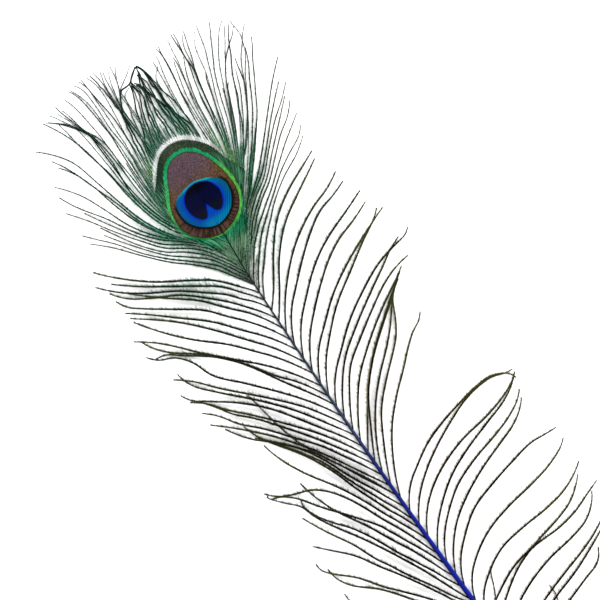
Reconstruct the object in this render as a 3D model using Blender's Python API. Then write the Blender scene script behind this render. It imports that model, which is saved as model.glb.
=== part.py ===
"""A peacock's train feather, lying face up with its eye towards +Y.

The feather grew as one piece, so it is one closed solid: the shaft, the dense vane that carries the
eye, and the locks of loose barbs along both sides. Its places are given in millimetres from the dark
spot of the eye, X across the feather and Y along the shaft towards the tip. The origin is under the
middle of the feather's bounding box, on the surface that it lies on.
"""

from math import cos, pi, sin

import bmesh
import bpy
from mathutils import Vector
from mathutils.geometry import interpolate_bezier

MM = 0.001                      # metres in a millimetre

# Driving dimensions, in millimetres
QUILL_END_Y = -330.0            # where the quill is cut
SHAFT_END_Y = 16.0              # the shaft's fine end, inside the eye
TOP_Y = 85.0                    # the highest tips of the fringe
LEFT_X = -70.5                  # the outermost tips on either side
RIGHT_X = 84.5
SHAFT_BELLY = (-3.7, -110.0)    # the shaft is bowed, and this is its leftmost point
SHAFT_BOW = 0.00015             # how fast it bends away on both sides of that point
QUILL_WIDTH = 3.6
SHAFT_TIP_WIDTH = 0.5
SHAFT_TAPER = 1.25
SHAFT_SIDES = 8
SHAFT_STEPS = 16
SHAFT_FLAT = 0.7                # width of its flat underside, as a share of its own
SHAFT_SHOULDER = 0.35           # where it is widest, as a share of its thickness
ROOT_LEVEL = 0.6                # height of the barbs' roots on the shaft, as a share of its thickness

CURVE_POINTS = 9                # points read between two given points of a smooth curve

LOCK_STEPS = 7
LOCK_WIDTHS = (0.9, 1.9, 2.0, 1.6, 0.6)     # from the root to the tip
LOCK_THICKNESS = 0.7
LOCK_TIP_THICKNESS = 0.4
LOCK_ARCH = 3.0                 # how high a loose lock rises between its root and its tip
LAYERS = 3                      # neighbouring locks lie in layers
LAYER_STEP = 0.13

VANE_RIBS = 11                  # ribs on each side of the vane, one for each lock of its fringe
VANE_STEPS = 5
VANE_THICKNESS = 0.7
VANE_RIB_HEIGHT = 0.3
VANE_ARCH = 1.4
VANE_OVAL = (5.0, 23.0, 31.0)   # the oval that it fills: height of its middle, and its half axes
LEAST_DENSE_SHARE = 0.3         # what its lowest barbs, outside the oval, have in it
FRINGE_START = 0.7              # where its locks begin, as a share of the way through the dense vane
FRINGE_WIDTHS = (1.2, 2.4, 2.6, 1.8, 0.6)
FINE_STEPS = 40                 # steps in which a barb of the vane is followed

# The dense vane, as guide barbs from the lowest to the highest: height of the root on the shaft, then
# the points that the barb passes, the last one its tip. Both sides have their roots at the same heights.
VANE_LEFT = (
    (-52, (-10, -38), (-20, -26), (-30, -17), (-42, -4), (-53, 8), (-60, 14.5)),
    (-49, (-10, -35), (-20, -22.5), (-30, -11.5), (-38, -2), (-48, 13.5), (-61.5, 34)),
    (-46, (-10, -31.5), (-21, -16.5), (-31, -3), (-38, 6), (-48, 22), (-60, 42.5)),
    (-43, (-10, -29), (-20, -15), (-30, -1.5), (-38, 11), (-47, 30), (-59, 48)),
    (-40, (-10, -27), (-18, -15), (-28, 0), (-36.5, 17), (-43.5, 40), (-52, 56)),
    (-37.5, (-10, -24.5), (-18, -11.5), (-27, 3), (-34.5, 18), (-44, 52), (-57, 68)),
    (-35, (-9, -21), (-17, -8.5), (-24, 4), (-29.5, 20), (-37.5, 60), (-46, 77.5)),
    (-31, (-8, -19), (-15, -8.5), (-21, 3), (-24.7, 18), (-26.5, 58), (-34, 81.5)),
    (-23, (-8.5, -12), (-15.5, -2), (-18.8, 8), (-18.5, 22), (-17, 58), (-21, 85)),
    (-9, (-6, 1), (-9, 12), (-9.5, 26), (-10, 42), (-11, 62), (-11, 84)),
    (12, (-2.4, 20), (-2.8, 27), (-3, 34), (-3, 45), (-3, 62), (-1, 82)),
)
VANE_RIGHT = (
    (-52, (8, -41), (20.4, -26.5), (30, -17.8), (40, -11.3), (50, -6.3), (58.5, 0)),
    (-49, (8, -37.5), (20, -24), (30, -14), (42.7, -3.3), (56.5, 7), (62.2, 11.2)),
    (-46, (10, -30), (25, -12), (36, 0), (47, 10), (56, 18), (66.3, 27)),
    (-43, (10, -25.5), (20, -13), (35, 2.5), (50.5, 19.5), (62, 32), (70, 39.5)),
    (-40, (8, -23), (18, -10.5), (28, 1), (38, 13), (52, 33), (64.5, 57)),
    (-37.5, (8, -20), (16, -8.5), (24, 3), (33, 18), (48, 48), (60, 65)),
    (-35, (8, -17), (15, -6.5), (21, 4), (27, 18), (39, 50), (51, 74)),
    (-31, (8, -15), (15, -5.5), (20, 4), (24, 16), (31, 53), (38.5, 78)),
    (-23, (7, -12.5), (13.5, -3), (17.8, 7), (18.5, 22), (19.5, 52), (23.3, 77.5)),
    (-9, (5, 1), (9, 12), (11.5, 25), (13.5, 40), (14, 56), (11, 75)),
    (12, (0.4, 20), (1.6, 27), (2.6, 34), (3.6, 45), (4.5, 60), (4, 76)),
)

# The loose locks, from the eye down to the quill: root and points as above.
LOOSE_RIGHT = (
    (-67, (3.5, -55.4), (13.5, -40.4), (25, -27), (40, -17.2), (50, -12.6), (58, -8.8)),
    (-75, (5, -58.5), (15, -43.5), (27.3, -30.8), (40, -22.8), (50, -17), (57, -12.8)),
    (-81, (5, -63.5), (15, -52), (25, -43), (35, -36.5), (53, -29), (62, -24)),
    (-88, (5, -71.5), (15, -59.2), (25, -50), (35, -42), (54, -33.3), (62.5, -30)),
    (-97, (5, -79.8), (15, -67.6), (25, -58.7), (35, -52), (55, -43.5), (66.8, -38.7)),
    (-105, (5, -88), (15, -75), (25, -66), (35, -58.3), (55, -49.5), (66, -44.8)),
    (-112, (5, -96), (15, -84), (25, -75.4), (40, -66), (55, -58.8), (71.5, -52)),
    (-119, (5, -102), (15, -89), (25, -79.7), (40, -69.6), (55, -60.8), (66, -55)),
    (-125, (5, -110), (15, -99), (25, -90.5), (40, -81), (55, -73.8), (76.5, -68)),
    (-133, (5, -117), (15, -104.5), (25, -95.3), (40, -85.5), (55, -77), (66, -72)),
    (-139, (5, -122.5), (15, -109), (25, -100.3), (40, -90.4), (50, -84.5), (68.5, -79)),
    (-146, (5, -129.5), (15, -115.2), (25, -106.5), (40, -95.6), (50, -89.7), (63, -82)),
    (-155, (5, -137), (15, -122.5), (25, -111.5), (40, -99.2), (48, -93.5), (56, -88)),
    (-164, (5, -144.5), (15, -129.5), (25, -119), (35, -110), (42, -102.5), (50, -93.5)),
    (-171, (6, -150), (15, -134.5), (25, -124), (35, -115), (41, -109), (48, -99.5)),
    (-180, (5, -160), (15, -144), (25, -133.3), (35, -124.5), (43, -117), (58, -105.5)),
    (-190, (5, -175), (15, -167.5), (25, -161.5), (40, -156.4), (60, -152), (77, -156)),
    (-198, (5, -183), (15, -173.7), (25, -167), (38, -160.2), (50, -156.5), (62, -155)),
    (-206, (5, -190), (15, -181), (25, -175.3), (40, -170), (60, -166.2), (80.5, -157)),
    (-214, (5, -199.5), (15, -189.5), (25, -182), (40, -175), (55, -171), (75, -164)),
    (-221, (5, -205.5), (15, -195), (25, -187.5), (40, -181.3), (66, -173.5), (77.5, -165.5)),
    (-228, (5, -213.5), (15, -202), (25, -195), (40, -187.5), (60, -180.5), (76, -171)),
    (-235, (5, -220), (15, -209.5), (25, -202), (40, -196.7), (60, -192), (82, -191.7)),
    (-244, (5, -230), (15, -220.7), (25, -215), (40, -210.5), (62, -206.5), (82, -198)),
    (-254, (5, -240.5), (15, -231.5), (25, -226), (40, -223.2), (63, -220.7), (82, -212)),
    (-262, (5, -249), (15, -242), (25, -237), (40, -234.5), (63, -232.5), (84, -225)),
    (-277, (7, -262), (18, -253), (28, -248), (43, -243.3), (66, -239), (79, -228)),
    (-286, (8, -271), (18, -264.5), (28, -259.5), (45, -253.5), (65, -247.5), (80, -239)),
    (-296, (10, -282), (25, -271), (40, -264.5), (52, -261), (62, -257.5), (66, -253)),
)
LOOSE_LEFT = (
    (-61, (-8, -48), (-16, -39), (-30, -28), (-45, -18.5), (-57, -8.5), (-67, 2)),
    (-68, (-10, -51), (-22, -38), (-38, -27.5), (-50, -19.5), (-60, -13), (-70, -5)),
    (-75, (-10, -57), (-22, -44.5), (-36, -34), (-50, -25.5), (-60, -18.5), (-66, -11.5)),
    (-86, (-9, -71), (-20, -56), (-30, -46), (-45, -35), (-57, -26.5), (-65.5, -16.5)),
    (-93, (-9, -77.5), (-20, -63), (-30, -53), (-45, -39.3), (-57, -29.7), (-65, -23.5)),
    (-101, (-9, -86), (-20, -70.5), (-32, -56.5), (-47, -42), (-57, -34.5), (-64.5, -28.5)),
    (-107, (-9, -92.5), (-20, -78), (-30, -67.5), (-45, -53), (-55, -42), (-64, -32)),
    (-115, (-9, -100.5), (-20, -86.5), (-33, -73), (-45, -61), (-58, -47), (-69.3, -38.3)),
    (-126, (-9, -112), (-18, -97), (-27, -83), (-40, -68), (-54, -57), (-68.7, -49)),
    (-134, (-10, -118), (-20, -104), (-35, -87), (-44, -76.5), (-50, -68.5), (-54, -61)),
    (-141, (-9, -125.5), (-20, -109.5), (-33, -95), (-47, -81), (-56, -71.5), (-63.7, -65)),
    (-148, (-9, -131), (-20, -115), (-34, -98.5), (-47, -85.5), (-55, -77), (-59, -71)),
    (-155, (-9, -138), (-20, -120.5), (-33, -105), (-43, -94.5), (-55, -84.5), (-65, -75)),
    (-163, (-9, -147), (-20, -129.5), (-32, -114), (-40, -104.5), (-50, -94.5), (-57, -86)),
    (-172, (-10, -153), (-20, -137), (-30, -123.5), (-40, -111.5), (-50, -100.5), (-61, -88)),
    (-177, (-9, -160), (-18, -145), (-28, -130), (-38, -118), (-50, -105.5), (-61, -94)),
    (-184, (-9, -168), (-18, -151), (-28, -134.5), (-38, -122.5), (-47, -112.5), (-56, -101)),
    (-190, (-9, -175), (-17, -160), (-24, -147), (-31, -135), (-38, -125.5), (-45, -116.5)),
    (-197, (-10, -180), (-18, -167), (-26, -153), (-34, -141), (-40, -131), (-44.5, -117.5)),
    (-205, (-9, -191.5), (-16, -178), (-22, -165), (-28, -156.2), (-37, -149), (-58, -138)),
    (-212, (-9, -199.5), (-18, -184), (-28, -170.5), (-38, -158.5), (-48, -147.5), (-56, -143)),
    (-227, (-9, -213), (-18, -198.5), (-28, -183), (-37, -169.5), (-43, -159.5), (-45, -151)),
    (-240, (-10, -227), (-19, -212), (-28, -196), (-35, -183), (-42, -171.5), (-49, -158)),
    (-246, (-10, -233), (-20, -217), (-29, -202), (-38, -189), (-46, -179.5), (-52.5, -173)),
    (-252, (-11, -238), (-21, -224), (-33, -210), (-43, -197.5), (-52, -189.5), (-56, -181)),
    (-260, (-12, -245), (-24, -228), (-37, -211.5), (-45, -203.5), (-50, -198), (-52.5, -191)),
    (-268, (-12, -253), (-24, -238), (-38, -223), (-47, -214), (-51.5, -208), (-52.5, -201.5)),
    (-276, (-12, -262), (-25, -248), (-38, -235), (-47, -227), (-52, -222), (-55, -217)),
    (-284, (-12, -271), (-26, -257), (-40, -245), (-48, -238.5), (-53, -234), (-56, -230)),
    (-292, (-12, -280), (-26, -267.5), (-40, -257), (-47, -252), (-52, -249), (-55, -246)),
)

BARB_COLOUR = (0.035, 0.16, 0.10, 1.0)      # dark green


def clear_scene():
    """Remove whatever the scene holds."""
    for old in list(bpy.data.objects):
        bpy.data.objects.remove(old, do_unlink=True)


def barb_material():
    """The satin dark green of the barbs."""
    made = bpy.data.materials.new("feather")
    made.use_nodes = True
    shader = made.node_tree.nodes["Principled BSDF"]
    shader.inputs["Base Color"].default_value = BARB_COLOUR
    shader.inputs["Roughness"].default_value = 0.5
    shader.inputs["Metallic"].default_value = 0.0
    return made


def in_place(point):
    """A point measured from the eye, in metres from the middle of the feather's base."""
    middle = Vector(((LEFT_X + RIGHT_X) / 2, (QUILL_END_Y + TOP_Y) / 2, 0))
    return (Vector(point) - middle) * MM


def shaft_x(y):
    """Middle of the bowed shaft at a height along it."""
    belly_x, belly_y = SHAFT_BELLY
    return belly_x + SHAFT_BOW * (y - belly_y) ** 2


def shaft_width(y):
    """Width of the shaft, tapering from the quill to its fine end."""
    share = (SHAFT_END_Y - y) / (SHAFT_END_Y - QUILL_END_Y)
    return SHAFT_TIP_WIDTH + (QUILL_WIDTH - SHAFT_TIP_WIDTH) * max(share, 0) ** SHAFT_TAPER


def shaft_thickness(y):
    """Thickness of the shaft, a little less than its width at the quill."""
    return 0.9 * shaft_width(y) + 0.3


def along(values, share):
    """Read a short list of evenly spaced values at a share of its length."""
    place = min(max(share, 0), 1) * (len(values) - 1)
    first = min(int(place), len(values) - 2)
    rest = place - first
    return values[first] * (1 - rest) + values[first + 1] * rest


def smooth_path(points, steps):
    """Evenly spaced points on a smooth curve through a few given points."""
    points = [Vector(point) for point in points]
    slopes = []
    for index, point in enumerate(points):
        before = points[max(index - 1, 0)]
        after = points[min(index + 1, len(points) - 1)]
        slopes.append((after - before).normalized())
    fine = [points[0]]
    for index in range(len(points) - 1):
        start = points[index]
        end = points[index + 1]
        reach = (end - start).length / 3
        handle = start + slopes[index] * reach
        far_handle = end - slopes[index + 1] * reach
        fine += interpolate_bezier(start, handle, far_handle, end, CURVE_POINTS)[1:]
    lengths = [0.0]
    for before, after in zip(fine, fine[1:]):
        lengths.append(lengths[-1] + (after - before).length)
    path = []
    segment = 0
    for step in range(steps + 1):
        wanted = lengths[-1] * step / steps
        while segment < len(fine) - 2 and lengths[segment + 1] < wanted:
            segment += 1
        share = (wanted - lengths[segment]) / (lengths[segment + 1] - lengths[segment])
        path.append(fine[segment].lerp(fine[segment + 1], share))
    return path


def barb_path(barb, steps):
    """The course of a barb across the feather, from its root in the shaft."""
    root_y, *points = barb
    return smooth_path([(shaft_x(root_y), root_y), *points], steps)


def lift(root_y, share, arch):
    """Height of a barb's underside: it leaves the shaft, arches and comes down at its tip."""
    root = ROOT_LEVEL * shaft_thickness(root_y) - LOCK_THICKNESS / 2
    return root * (1 - share) + arch * sin(pi * share)


def skin(shape, rings):
    """A closed tube through rings of equally many points, with a flat cap on either end."""
    loops = [[shape.verts.new(in_place(point)) for point in ring] for ring in rings]
    count = len(loops[0])
    for near, far in zip(loops, loops[1:]):
        for index in range(count):
            following = (index + 1) % count
            shape.faces.new((near[index], near[following], far[following], far[index]))
    shape.faces.new(list(reversed(loops[0])))
    shape.faces.new(loops[-1])


def shaft_ring(y):
    """Section of the shaft: flat underneath, round above."""
    half = shaft_width(y) / 2
    thickness = shaft_thickness(y)
    flat = SHAFT_FLAT * half
    ring = [(shaft_x(y) - flat, y, 0), (shaft_x(y) + flat, y, 0)]
    for step in range(SHAFT_SIDES - 1):
        turn = pi * step / (SHAFT_SIDES - 2)
        height = SHAFT_SHOULDER + (1 - SHAFT_SHOULDER) * sin(turn)
        ring.append((shaft_x(y) + half * cos(turn), y, thickness * height))
    return ring


def add_shaft(shape):
    """The shaft from the cut quill to its fine end inside the eye."""
    rings = []
    for step in range(SHAFT_STEPS + 1):
        rings.append(shaft_ring(SHAFT_END_Y + (QUILL_END_Y - SHAFT_END_Y) * step / SHAFT_STEPS))
    skin(shape, rings)


def add_lock(shape, path, root_y, start, arch, widths, layer):
    """A lock of barbs: a long blade with a flat underside and a ridge along its middle.

    The path may begin partway along the barb, at the share of its length that start gives. Locks of
    different layers lie a little above one another, as barbs do where they overlap.
    """
    rings = []
    steps = len(path) - 1
    for index, point in enumerate(path):
        share = start + (1 - start) * index / steps
        ahead = path[min(index + 1, steps)] - path[max(index - 1, 0)]
        side = Vector((ahead.y, -ahead.x)).normalized() * along(widths, index / steps) / 2
        floor = lift(root_y, share, arch) + layer * LAYER_STEP
        ridge = floor + LOCK_THICKNESS + (LOCK_TIP_THICKNESS - LOCK_THICKNESS) * share
        left = point - side
        right = point + side
        rings.append([(left.x, left.y, floor), (point.x, point.y, ridge), (right.x, right.y, floor)])
    skin(shape, rings)


def add_loose_locks(shape, barbs):
    """One lock along each of the loose barbs of a side."""
    for index, barb in enumerate(barbs):
        path = barb_path(barb, LOCK_STEPS)
        add_lock(shape, path, barb[0], 0, LOCK_ARCH, LOCK_WIDTHS, index % LAYERS)


def vane_barb(guides, place, steps):
    """A barb between two guide barbs of the vane, as the height of its root and its course."""
    first = min(int(place), len(guides) - 2)
    rest = place - first
    low, high = guides[first], guides[first + 1]
    root_y = low[0] * (1 - rest) + high[0] * rest
    pairs = zip(barb_path(low, steps), barb_path(high, steps))
    return root_y, [a.lerp(b, rest) for a, b in pairs]


def dense_share(path):
    """The share of a barb, from its root, that the dense vane takes in."""
    middle, across, lengthwise = VANE_OVAL
    inside = 0
    for index, point in enumerate(path):
        if (point.x / across) ** 2 + ((point.y - middle) / lengthwise) ** 2 < 1:
            inside = index
    return max(inside / (len(path) - 1), LEAST_DENSE_SHARE)


def vane_place(guides, column):
    """Place between the guide barbs of one of the evenly spread barbs of the vane."""
    return column * (len(guides) - 1) / (2 * VANE_RIBS)


def vane_column(guides, column):
    """Points of the dense vane along one of its barbs, every second barb raised as a rib."""
    root_y, path = vane_barb(guides, vane_place(guides, column), FINE_STEPS)
    dense = dense_share(path)
    rib = VANE_RIB_HEIGHT * (column % 2)
    points = [(shaft_x(root_y), root_y, lift(root_y, 0, VANE_ARCH) + VANE_THICKNESS / 2)]
    for step in range(1, VANE_STEPS + 1):
        share = dense * step / VANE_STEPS
        point = along(path, share)
        points.append((point.x, point.y, lift(root_y, share, VANE_ARCH) + VANE_THICKNESS / 2 + rib))
    return points


def add_vane(shape):
    """The dense vane as one sheet: both sides, and the gap that they leave beyond the shaft."""
    left = []
    right = []
    for column in range(2 * VANE_RIBS + 1):
        root, *points = vane_column(VANE_LEFT, column)
        middle = shape.verts.new(in_place(root))
        left.append([middle, *[shape.verts.new(in_place(point)) for point in points]])
        _, *points = vane_column(VANE_RIGHT, column)
        right.append([middle, *[shape.verts.new(in_place(point)) for point in points]])
    for step in range(VANE_STEPS):
        for low, high in zip(left, left[1:]):
            shape.faces.new((low[step], high[step], high[step + 1], low[step + 1]))
        for low, high in zip(right, right[1:]):
            shape.faces.new((low[step], low[step + 1], high[step + 1], high[step]))
    shape.faces.new((left[-1][0], right[-1][1], left[-1][1]))
    for step in range(1, VANE_STEPS):
        shape.faces.new((left[-1][step], right[-1][step], right[-1][step + 1], left[-1][step + 1]))


def add_fringe(shape, guides):
    """The locks that go on from the ribs of the dense vane to the tips of the fringe."""
    for column in range(1, 2 * VANE_RIBS, 2):
        root_y, path = vane_barb(guides, vane_place(guides, column), FINE_STEPS)
        start = FRINGE_START * dense_share(path)
        points = []
        for step in range(LOCK_STEPS + 1):
            points.append(along(path, start + (1 - start) * step / LOCK_STEPS))
        add_lock(shape, points, root_y, start, VANE_ARCH, FRINGE_WIDTHS, (column // 2) % LAYERS)


def new_object(name, *builders):
    """An object whose mesh the given functions build."""
    shape = bmesh.new()
    for build in builders:
        build(shape)
    mesh = bpy.data.meshes.new(name)
    shape.to_mesh(mesh)
    shape.free()
    made = bpy.data.objects.new(name, mesh)
    bpy.context.collection.objects.link(made)
    return made


def guide(made):
    """Mark an object as one that only lends its shape to another."""
    made.hide_render = True
    made.display_type = "WIRE"
    return made


def unite(target, other):
    """Grow another shape onto an object, its own overlapping parts included."""
    union = target.modifiers.new(other.name, "BOOLEAN")
    union.operation = "UNION"
    union.object = other
    union.solver = "EXACT"
    union.use_self = True


def build_feather():
    """The shaft, with the dense vane, its fringe and the loose locks grown onto it."""
    feather = new_object("feather", add_shaft)
    vane = guide(new_object("vane", add_vane))
    depth = vane.modifiers.new("depth", "SOLIDIFY")
    depth.thickness = VANE_THICKNESS * MM
    depth.offset = 0
    fringe = guide(new_object(
        "fringe",
        lambda shape: add_fringe(shape, VANE_LEFT),
        lambda shape: add_fringe(shape, VANE_RIGHT),
    ))
    locks = guide(new_object(
        "locks",
        lambda shape: add_loose_locks(shape, LOOSE_LEFT),
        lambda shape: add_loose_locks(shape, LOOSE_RIGHT),
    ))
    for other in (vane, fringe, locks):
        unite(feather, other)
    feather.data.materials.append(barb_material())
    return feather


clear_scene()
build_feather()
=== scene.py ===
"""The looks of a peacock's train feather, lying face up on a pale surface.

Every barb is built on its own. The barbs of the eye are narrow blades that overlap into one closed
vane. All the others are a thin stem with a row of barbules down each side. Places are given in
millimetres from the dark spot of the eye, X across the feather and Y along the shaft towards the tip.
They are turned into metres from the middle of the ground it covers when a mesh is made.
"""

from collections import namedtuple
from math import pi, radians

import bpy
import numpy as np
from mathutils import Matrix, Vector
from mathutils.geometry import interpolate_bezier


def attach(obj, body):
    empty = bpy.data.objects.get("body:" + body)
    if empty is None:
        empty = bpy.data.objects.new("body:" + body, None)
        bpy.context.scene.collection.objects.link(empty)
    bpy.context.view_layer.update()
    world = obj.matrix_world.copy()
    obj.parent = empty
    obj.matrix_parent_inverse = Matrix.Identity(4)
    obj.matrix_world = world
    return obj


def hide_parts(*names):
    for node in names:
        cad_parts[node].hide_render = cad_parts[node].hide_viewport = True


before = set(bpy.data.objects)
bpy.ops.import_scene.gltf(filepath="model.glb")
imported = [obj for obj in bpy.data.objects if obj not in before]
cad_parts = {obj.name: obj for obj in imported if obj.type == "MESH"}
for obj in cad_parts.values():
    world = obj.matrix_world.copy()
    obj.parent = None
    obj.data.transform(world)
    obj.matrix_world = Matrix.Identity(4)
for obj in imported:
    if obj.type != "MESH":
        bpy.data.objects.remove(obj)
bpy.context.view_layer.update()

MM = 0.001                      # metres in a millimetre

# ---------------------------------------------------------------------------------------------
# Driving dimensions, in millimetres
# ---------------------------------------------------------------------------------------------
QUILL_END_Y = -330.0            # where the quill is cut
SHAFT_END_Y = 16.0              # the shaft's fine end, inside the eye
TOP_Y = 85.0                    # the highest tips of the fringe
LEFT_X = -70.5                  # the outermost tips on either side
RIGHT_X = 84.5
SHAFT_BELLY = (-3.68, -104.0)   # the shaft is bowed, and this is its leftmost point
SHAFT_BOW = 0.00015             # how fast it bends away on both sides of that point
SHAFT_KICK = 0.9                # its upper end bends this much further to the right
KICK_FROM_TO = (-45.0, -12.0)   # the heights between which it does so
QUILL_WIDTH = 3.8               # width of the shaft where it is cut
SHAFT_TIP_WIDTH = 0.35          # its width at its fine end
SHAFT_TAPER = 1.18              # over 1, so that it narrows faster near the quill than further up
SHAFT_DEPTH = 0.9               # thickness of the shaft, as a share of its width
SHAFT_LEAST = 0.3               # and so much is added to it
SUNK = 0.5                      # under the eye the shaft keeps this share of its height
SUNK_FROM_TO = (-15.0, -10.0)   # the heights between which it sinks to that
HOLLOW_DEPTH = 4.0              # the cut end is hollow this far up
HOLLOW_MOUTH = 0.6              # width of the hollow where it opens, as a share of the quill's
HOLLOW_BOTTOM = 0.48            # and where it ends

ROOT_LEVEL = 0.6                # barbs leave the shaft at this share of its thickness
BARB_LEVEL = 0.35               # a barb that lies on the ground has its middle this high
TIP_SINK = 0.6                  # but its thinner tip is lower, by this share of it
LOOSE_ARCH = 3.0                # how high a loose barb rises between its root and its tip
VANE_ARCH = 1.4                 # and a barb of the vane or the fringe
LOWEST = 0.06                   # nothing reaches closer to the ground than this

BLADE_OVERLAP = 1.12            # width of a blade, as a share of the way from one to the next
BLADE_RIDGE = 0.10              # its middle stands this much over its edges
BLADE_THICKNESS = 0.08
BLADE_SLACK = 0.03              # how much one blade lies higher or lower than the next
BLADE_ROUND = 0.8               # the length over which its end narrows
FOOT_OVER = 5.0                 # at the foot of the vane blades end raggedly, up to this much further out
FOOT_OVER_Y = (-16.0, -7.0)     # all do below the first of these heights, and none above the second
FOOT_OVER_SHARES = (0.2, 1.0)   # the least and the most that one blade takes of that length
BLADES_OVER = 4                 # blades that go straight on from the end of the shaft
LEAST_INSIDE = 2                # steps that a course has to be inside the closed vane to get a blade

SLACK = 0.25                    # how much one barb lies higher or lower than the next
SLACK_PACE = 1.2                # and how fast that comes and goes along the barb
BARBULE_WIDTH = 0.4
BARBULE_THICKNESS = 0.1
BARBULE_SIZES = (0.6, 1.3)      # the shortest and the longest, as shares of the common length
BARBULE_PLACES = (0.1, 0.9)     # where a barbule stands in its own stretch of the stem
BARBULE_STRAY = 0.25            # how far a barbule turns from its lean, in radians
BARBULE_RISE = (-0.25, 0.2)     # how far its tip sinks or rises, as a share of its length
CLUMP = 0.7                     # barbules stand in clumps about this far apart
CLUMP_SIZES = (0.55, 1.3)       # the shortest clump and the longest, as shares in the same way
DOWN_LONGER = 0.5               # in patches of down they are longer by this share
YOUNG_LENGTH = 16.0             # a barb is thinner on this first stretch from its root
YOUNG_SHARE = 0.8               # where it begins with this share of its width
FAINTEST = 0.3                  # width of the faintest barb, as a share of the strongest one's
HALO_WIDTH = 2.0                # barbs are bare and thin this near to the closed vane, above the eye
HALO_FROM_TO = (10.0, 26.0)     # the heights between which that begins
HALO_FROM_TO_X = (-22.0, -13.0)     # and the places across
HALO_THIN = 0.6                 # a bare barb has this share of its width

ROOT_SPACING = 1.3              # between the roots of the vane's barbs, along the shaft
JOIN_SEARCH = 0.5               # between the roots that are tried for a traced barb
JOIN_BEFORE = 8                 # steps of the vane's course that it leaves out before its traced one
JOIN_STEP = 12                  # between the points that it keeps of the vane's course
START_INSIDE = 0.5              # barbs of the fringe begin this part of a step inside the closed vane
STRAY_STRENGTH = 0.5            # how strongly the stray barbs show
FILL_STRENGTH = 0.2             # and the fine ones between the others
FILL_LEFT = (-27, 12)           # the vane's barbs that go on outside it as fine ones, by their roots
FILL_RIGHT = (-37.2, 12)        # the same on the right, where only every second one does
FILL_REACH = (4.0, 15.0)        # how far they reach out of the vane
FILL_OVER = 9                   # such barbs that go straight on from the end of the shaft
FOOT_FROM_TO = (-50.0, -34.0)   # between the barbs with their roots here there are fine ones too
FOOT_REACH = (14.0, 30.0)       # and these reach so far
WOBBLE = 0.3                    # how much the barbs of the tuft stray from a smooth course
WOBBLE_STEP = 2.5               # and over what length

# How finely things are built
CURVE_POINTS = 10               # points read between two given points of a smooth curve
OUTLINE_STEPS = 6               # steps between two given points of an outline
CHUNK = 2000                    # points that are set against an outline at a time
STEP = 0.8                      # between the points along a barb
LEAST_STEPS = 6                 # and no course has fewer steps than this
STEM_STEP = 1.7                 # between the rings of a stem
BLADE_STEP = 0.6                # and of a blade
LEAST_RINGS = 4                 # neither has fewer than this
SHAFT_ROWS = 170                # rings of the shaft
RELAXING = 8                    # passes that even out a traced course
LOOK_AHEAD = 0.4                # a path's direction is read this far ahead and behind
GUIDE_STEPS = 160               # steps in which a guide barb of the vane is followed

# The map of a piece has a row for each barb
MAP_EDGE = 0.01                 # left free at both ends of a row
MAP_HALF = 0.46                 # half of what is used of its height
MAP_STEM = 0.25                 # the share of that half that a stem takes
MAP_FOOT = 0.05                 # the share that a barbule's foot takes
MAP_BARBULE = 0.4               # and that the rest of it takes for each millimetre of its length

# The view and the light
SCENE_WIDTH = 300.0             # millimetres across the picture
PICTURE_MIDDLE = (11.3, -67.3)  # the place that the camera looks down on
LEAN = radians(-34.0)           # how far the camera is turned, so that the feather leans to the left
LENS = 100.0
SENSOR = 36.0
SKY_STRENGTH = 0.9
PANEL_SIZE = 0.9                # metres across a light
PANELS = (("key", (1.1, 0.5, 1.3), 34.0), ("fill", (-1.2, -0.3, 1.2), 20.0))     # place, watts
FLOOR_SIZE = 6.0                # metres
LIGHT_LEVEL = 2.18              # a white surface is this much brighter than the picture's white

# ---------------------------------------------------------------------------------------------
# Courses of the barbs, traced one by one. Each has the height of its root on the shaft, then the
# points that it passes, the last one its tip.
# ---------------------------------------------------------------------------------------------
# Guide barbs of the vane: all of its barbs run between them.
VANE_LEFT = (
    (-52, (-10, -38), (-20, -26), (-30, -17), (-42, -4), (-53, 8), (-60, 14.5)),
    (-49, (-10, -35), (-20, -22.5), (-30, -11.5), (-38, -2), (-48, 13.5), (-61.5, 34)),
    (-46, (-10, -31.5), (-21, -16.5), (-31, -3), (-38, 6), (-48, 22), (-60, 42.5)),
    (-43, (-10, -29), (-20, -15), (-30, -1.5), (-38, 11), (-47, 30), (-59, 48)),
    (-40, (-10, -27), (-18, -15), (-28, 0), (-36.5, 17), (-43.5, 40), (-52, 56)),
    (-37.5, (-10, -24.5), (-18, -11.5), (-27, 3), (-34.5, 18), (-44, 52), (-57, 68)),
    (-35, (-9, -21), (-17, -8.5), (-24, 4), (-29.5, 20), (-37.5, 60), (-46, 77.5)),
    (-31, (-8, -19), (-15, -8.5), (-21, 3), (-24.7, 18), (-26.5, 58), (-34, 81.5)),
    (-23, (-8.5, -12), (-15.5, -2), (-18.8, 8), (-18.5, 22), (-17, 58), (-21, 85)),
    (-9, (-6, 1), (-9, 12), (-9.5, 26), (-10, 42), (-11, 62), (-11, 84)),
    (12, (-2.4, 20), (-2.8, 27), (-3, 34), (-3, 45), (-3, 62), (-1, 82)),
)
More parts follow.
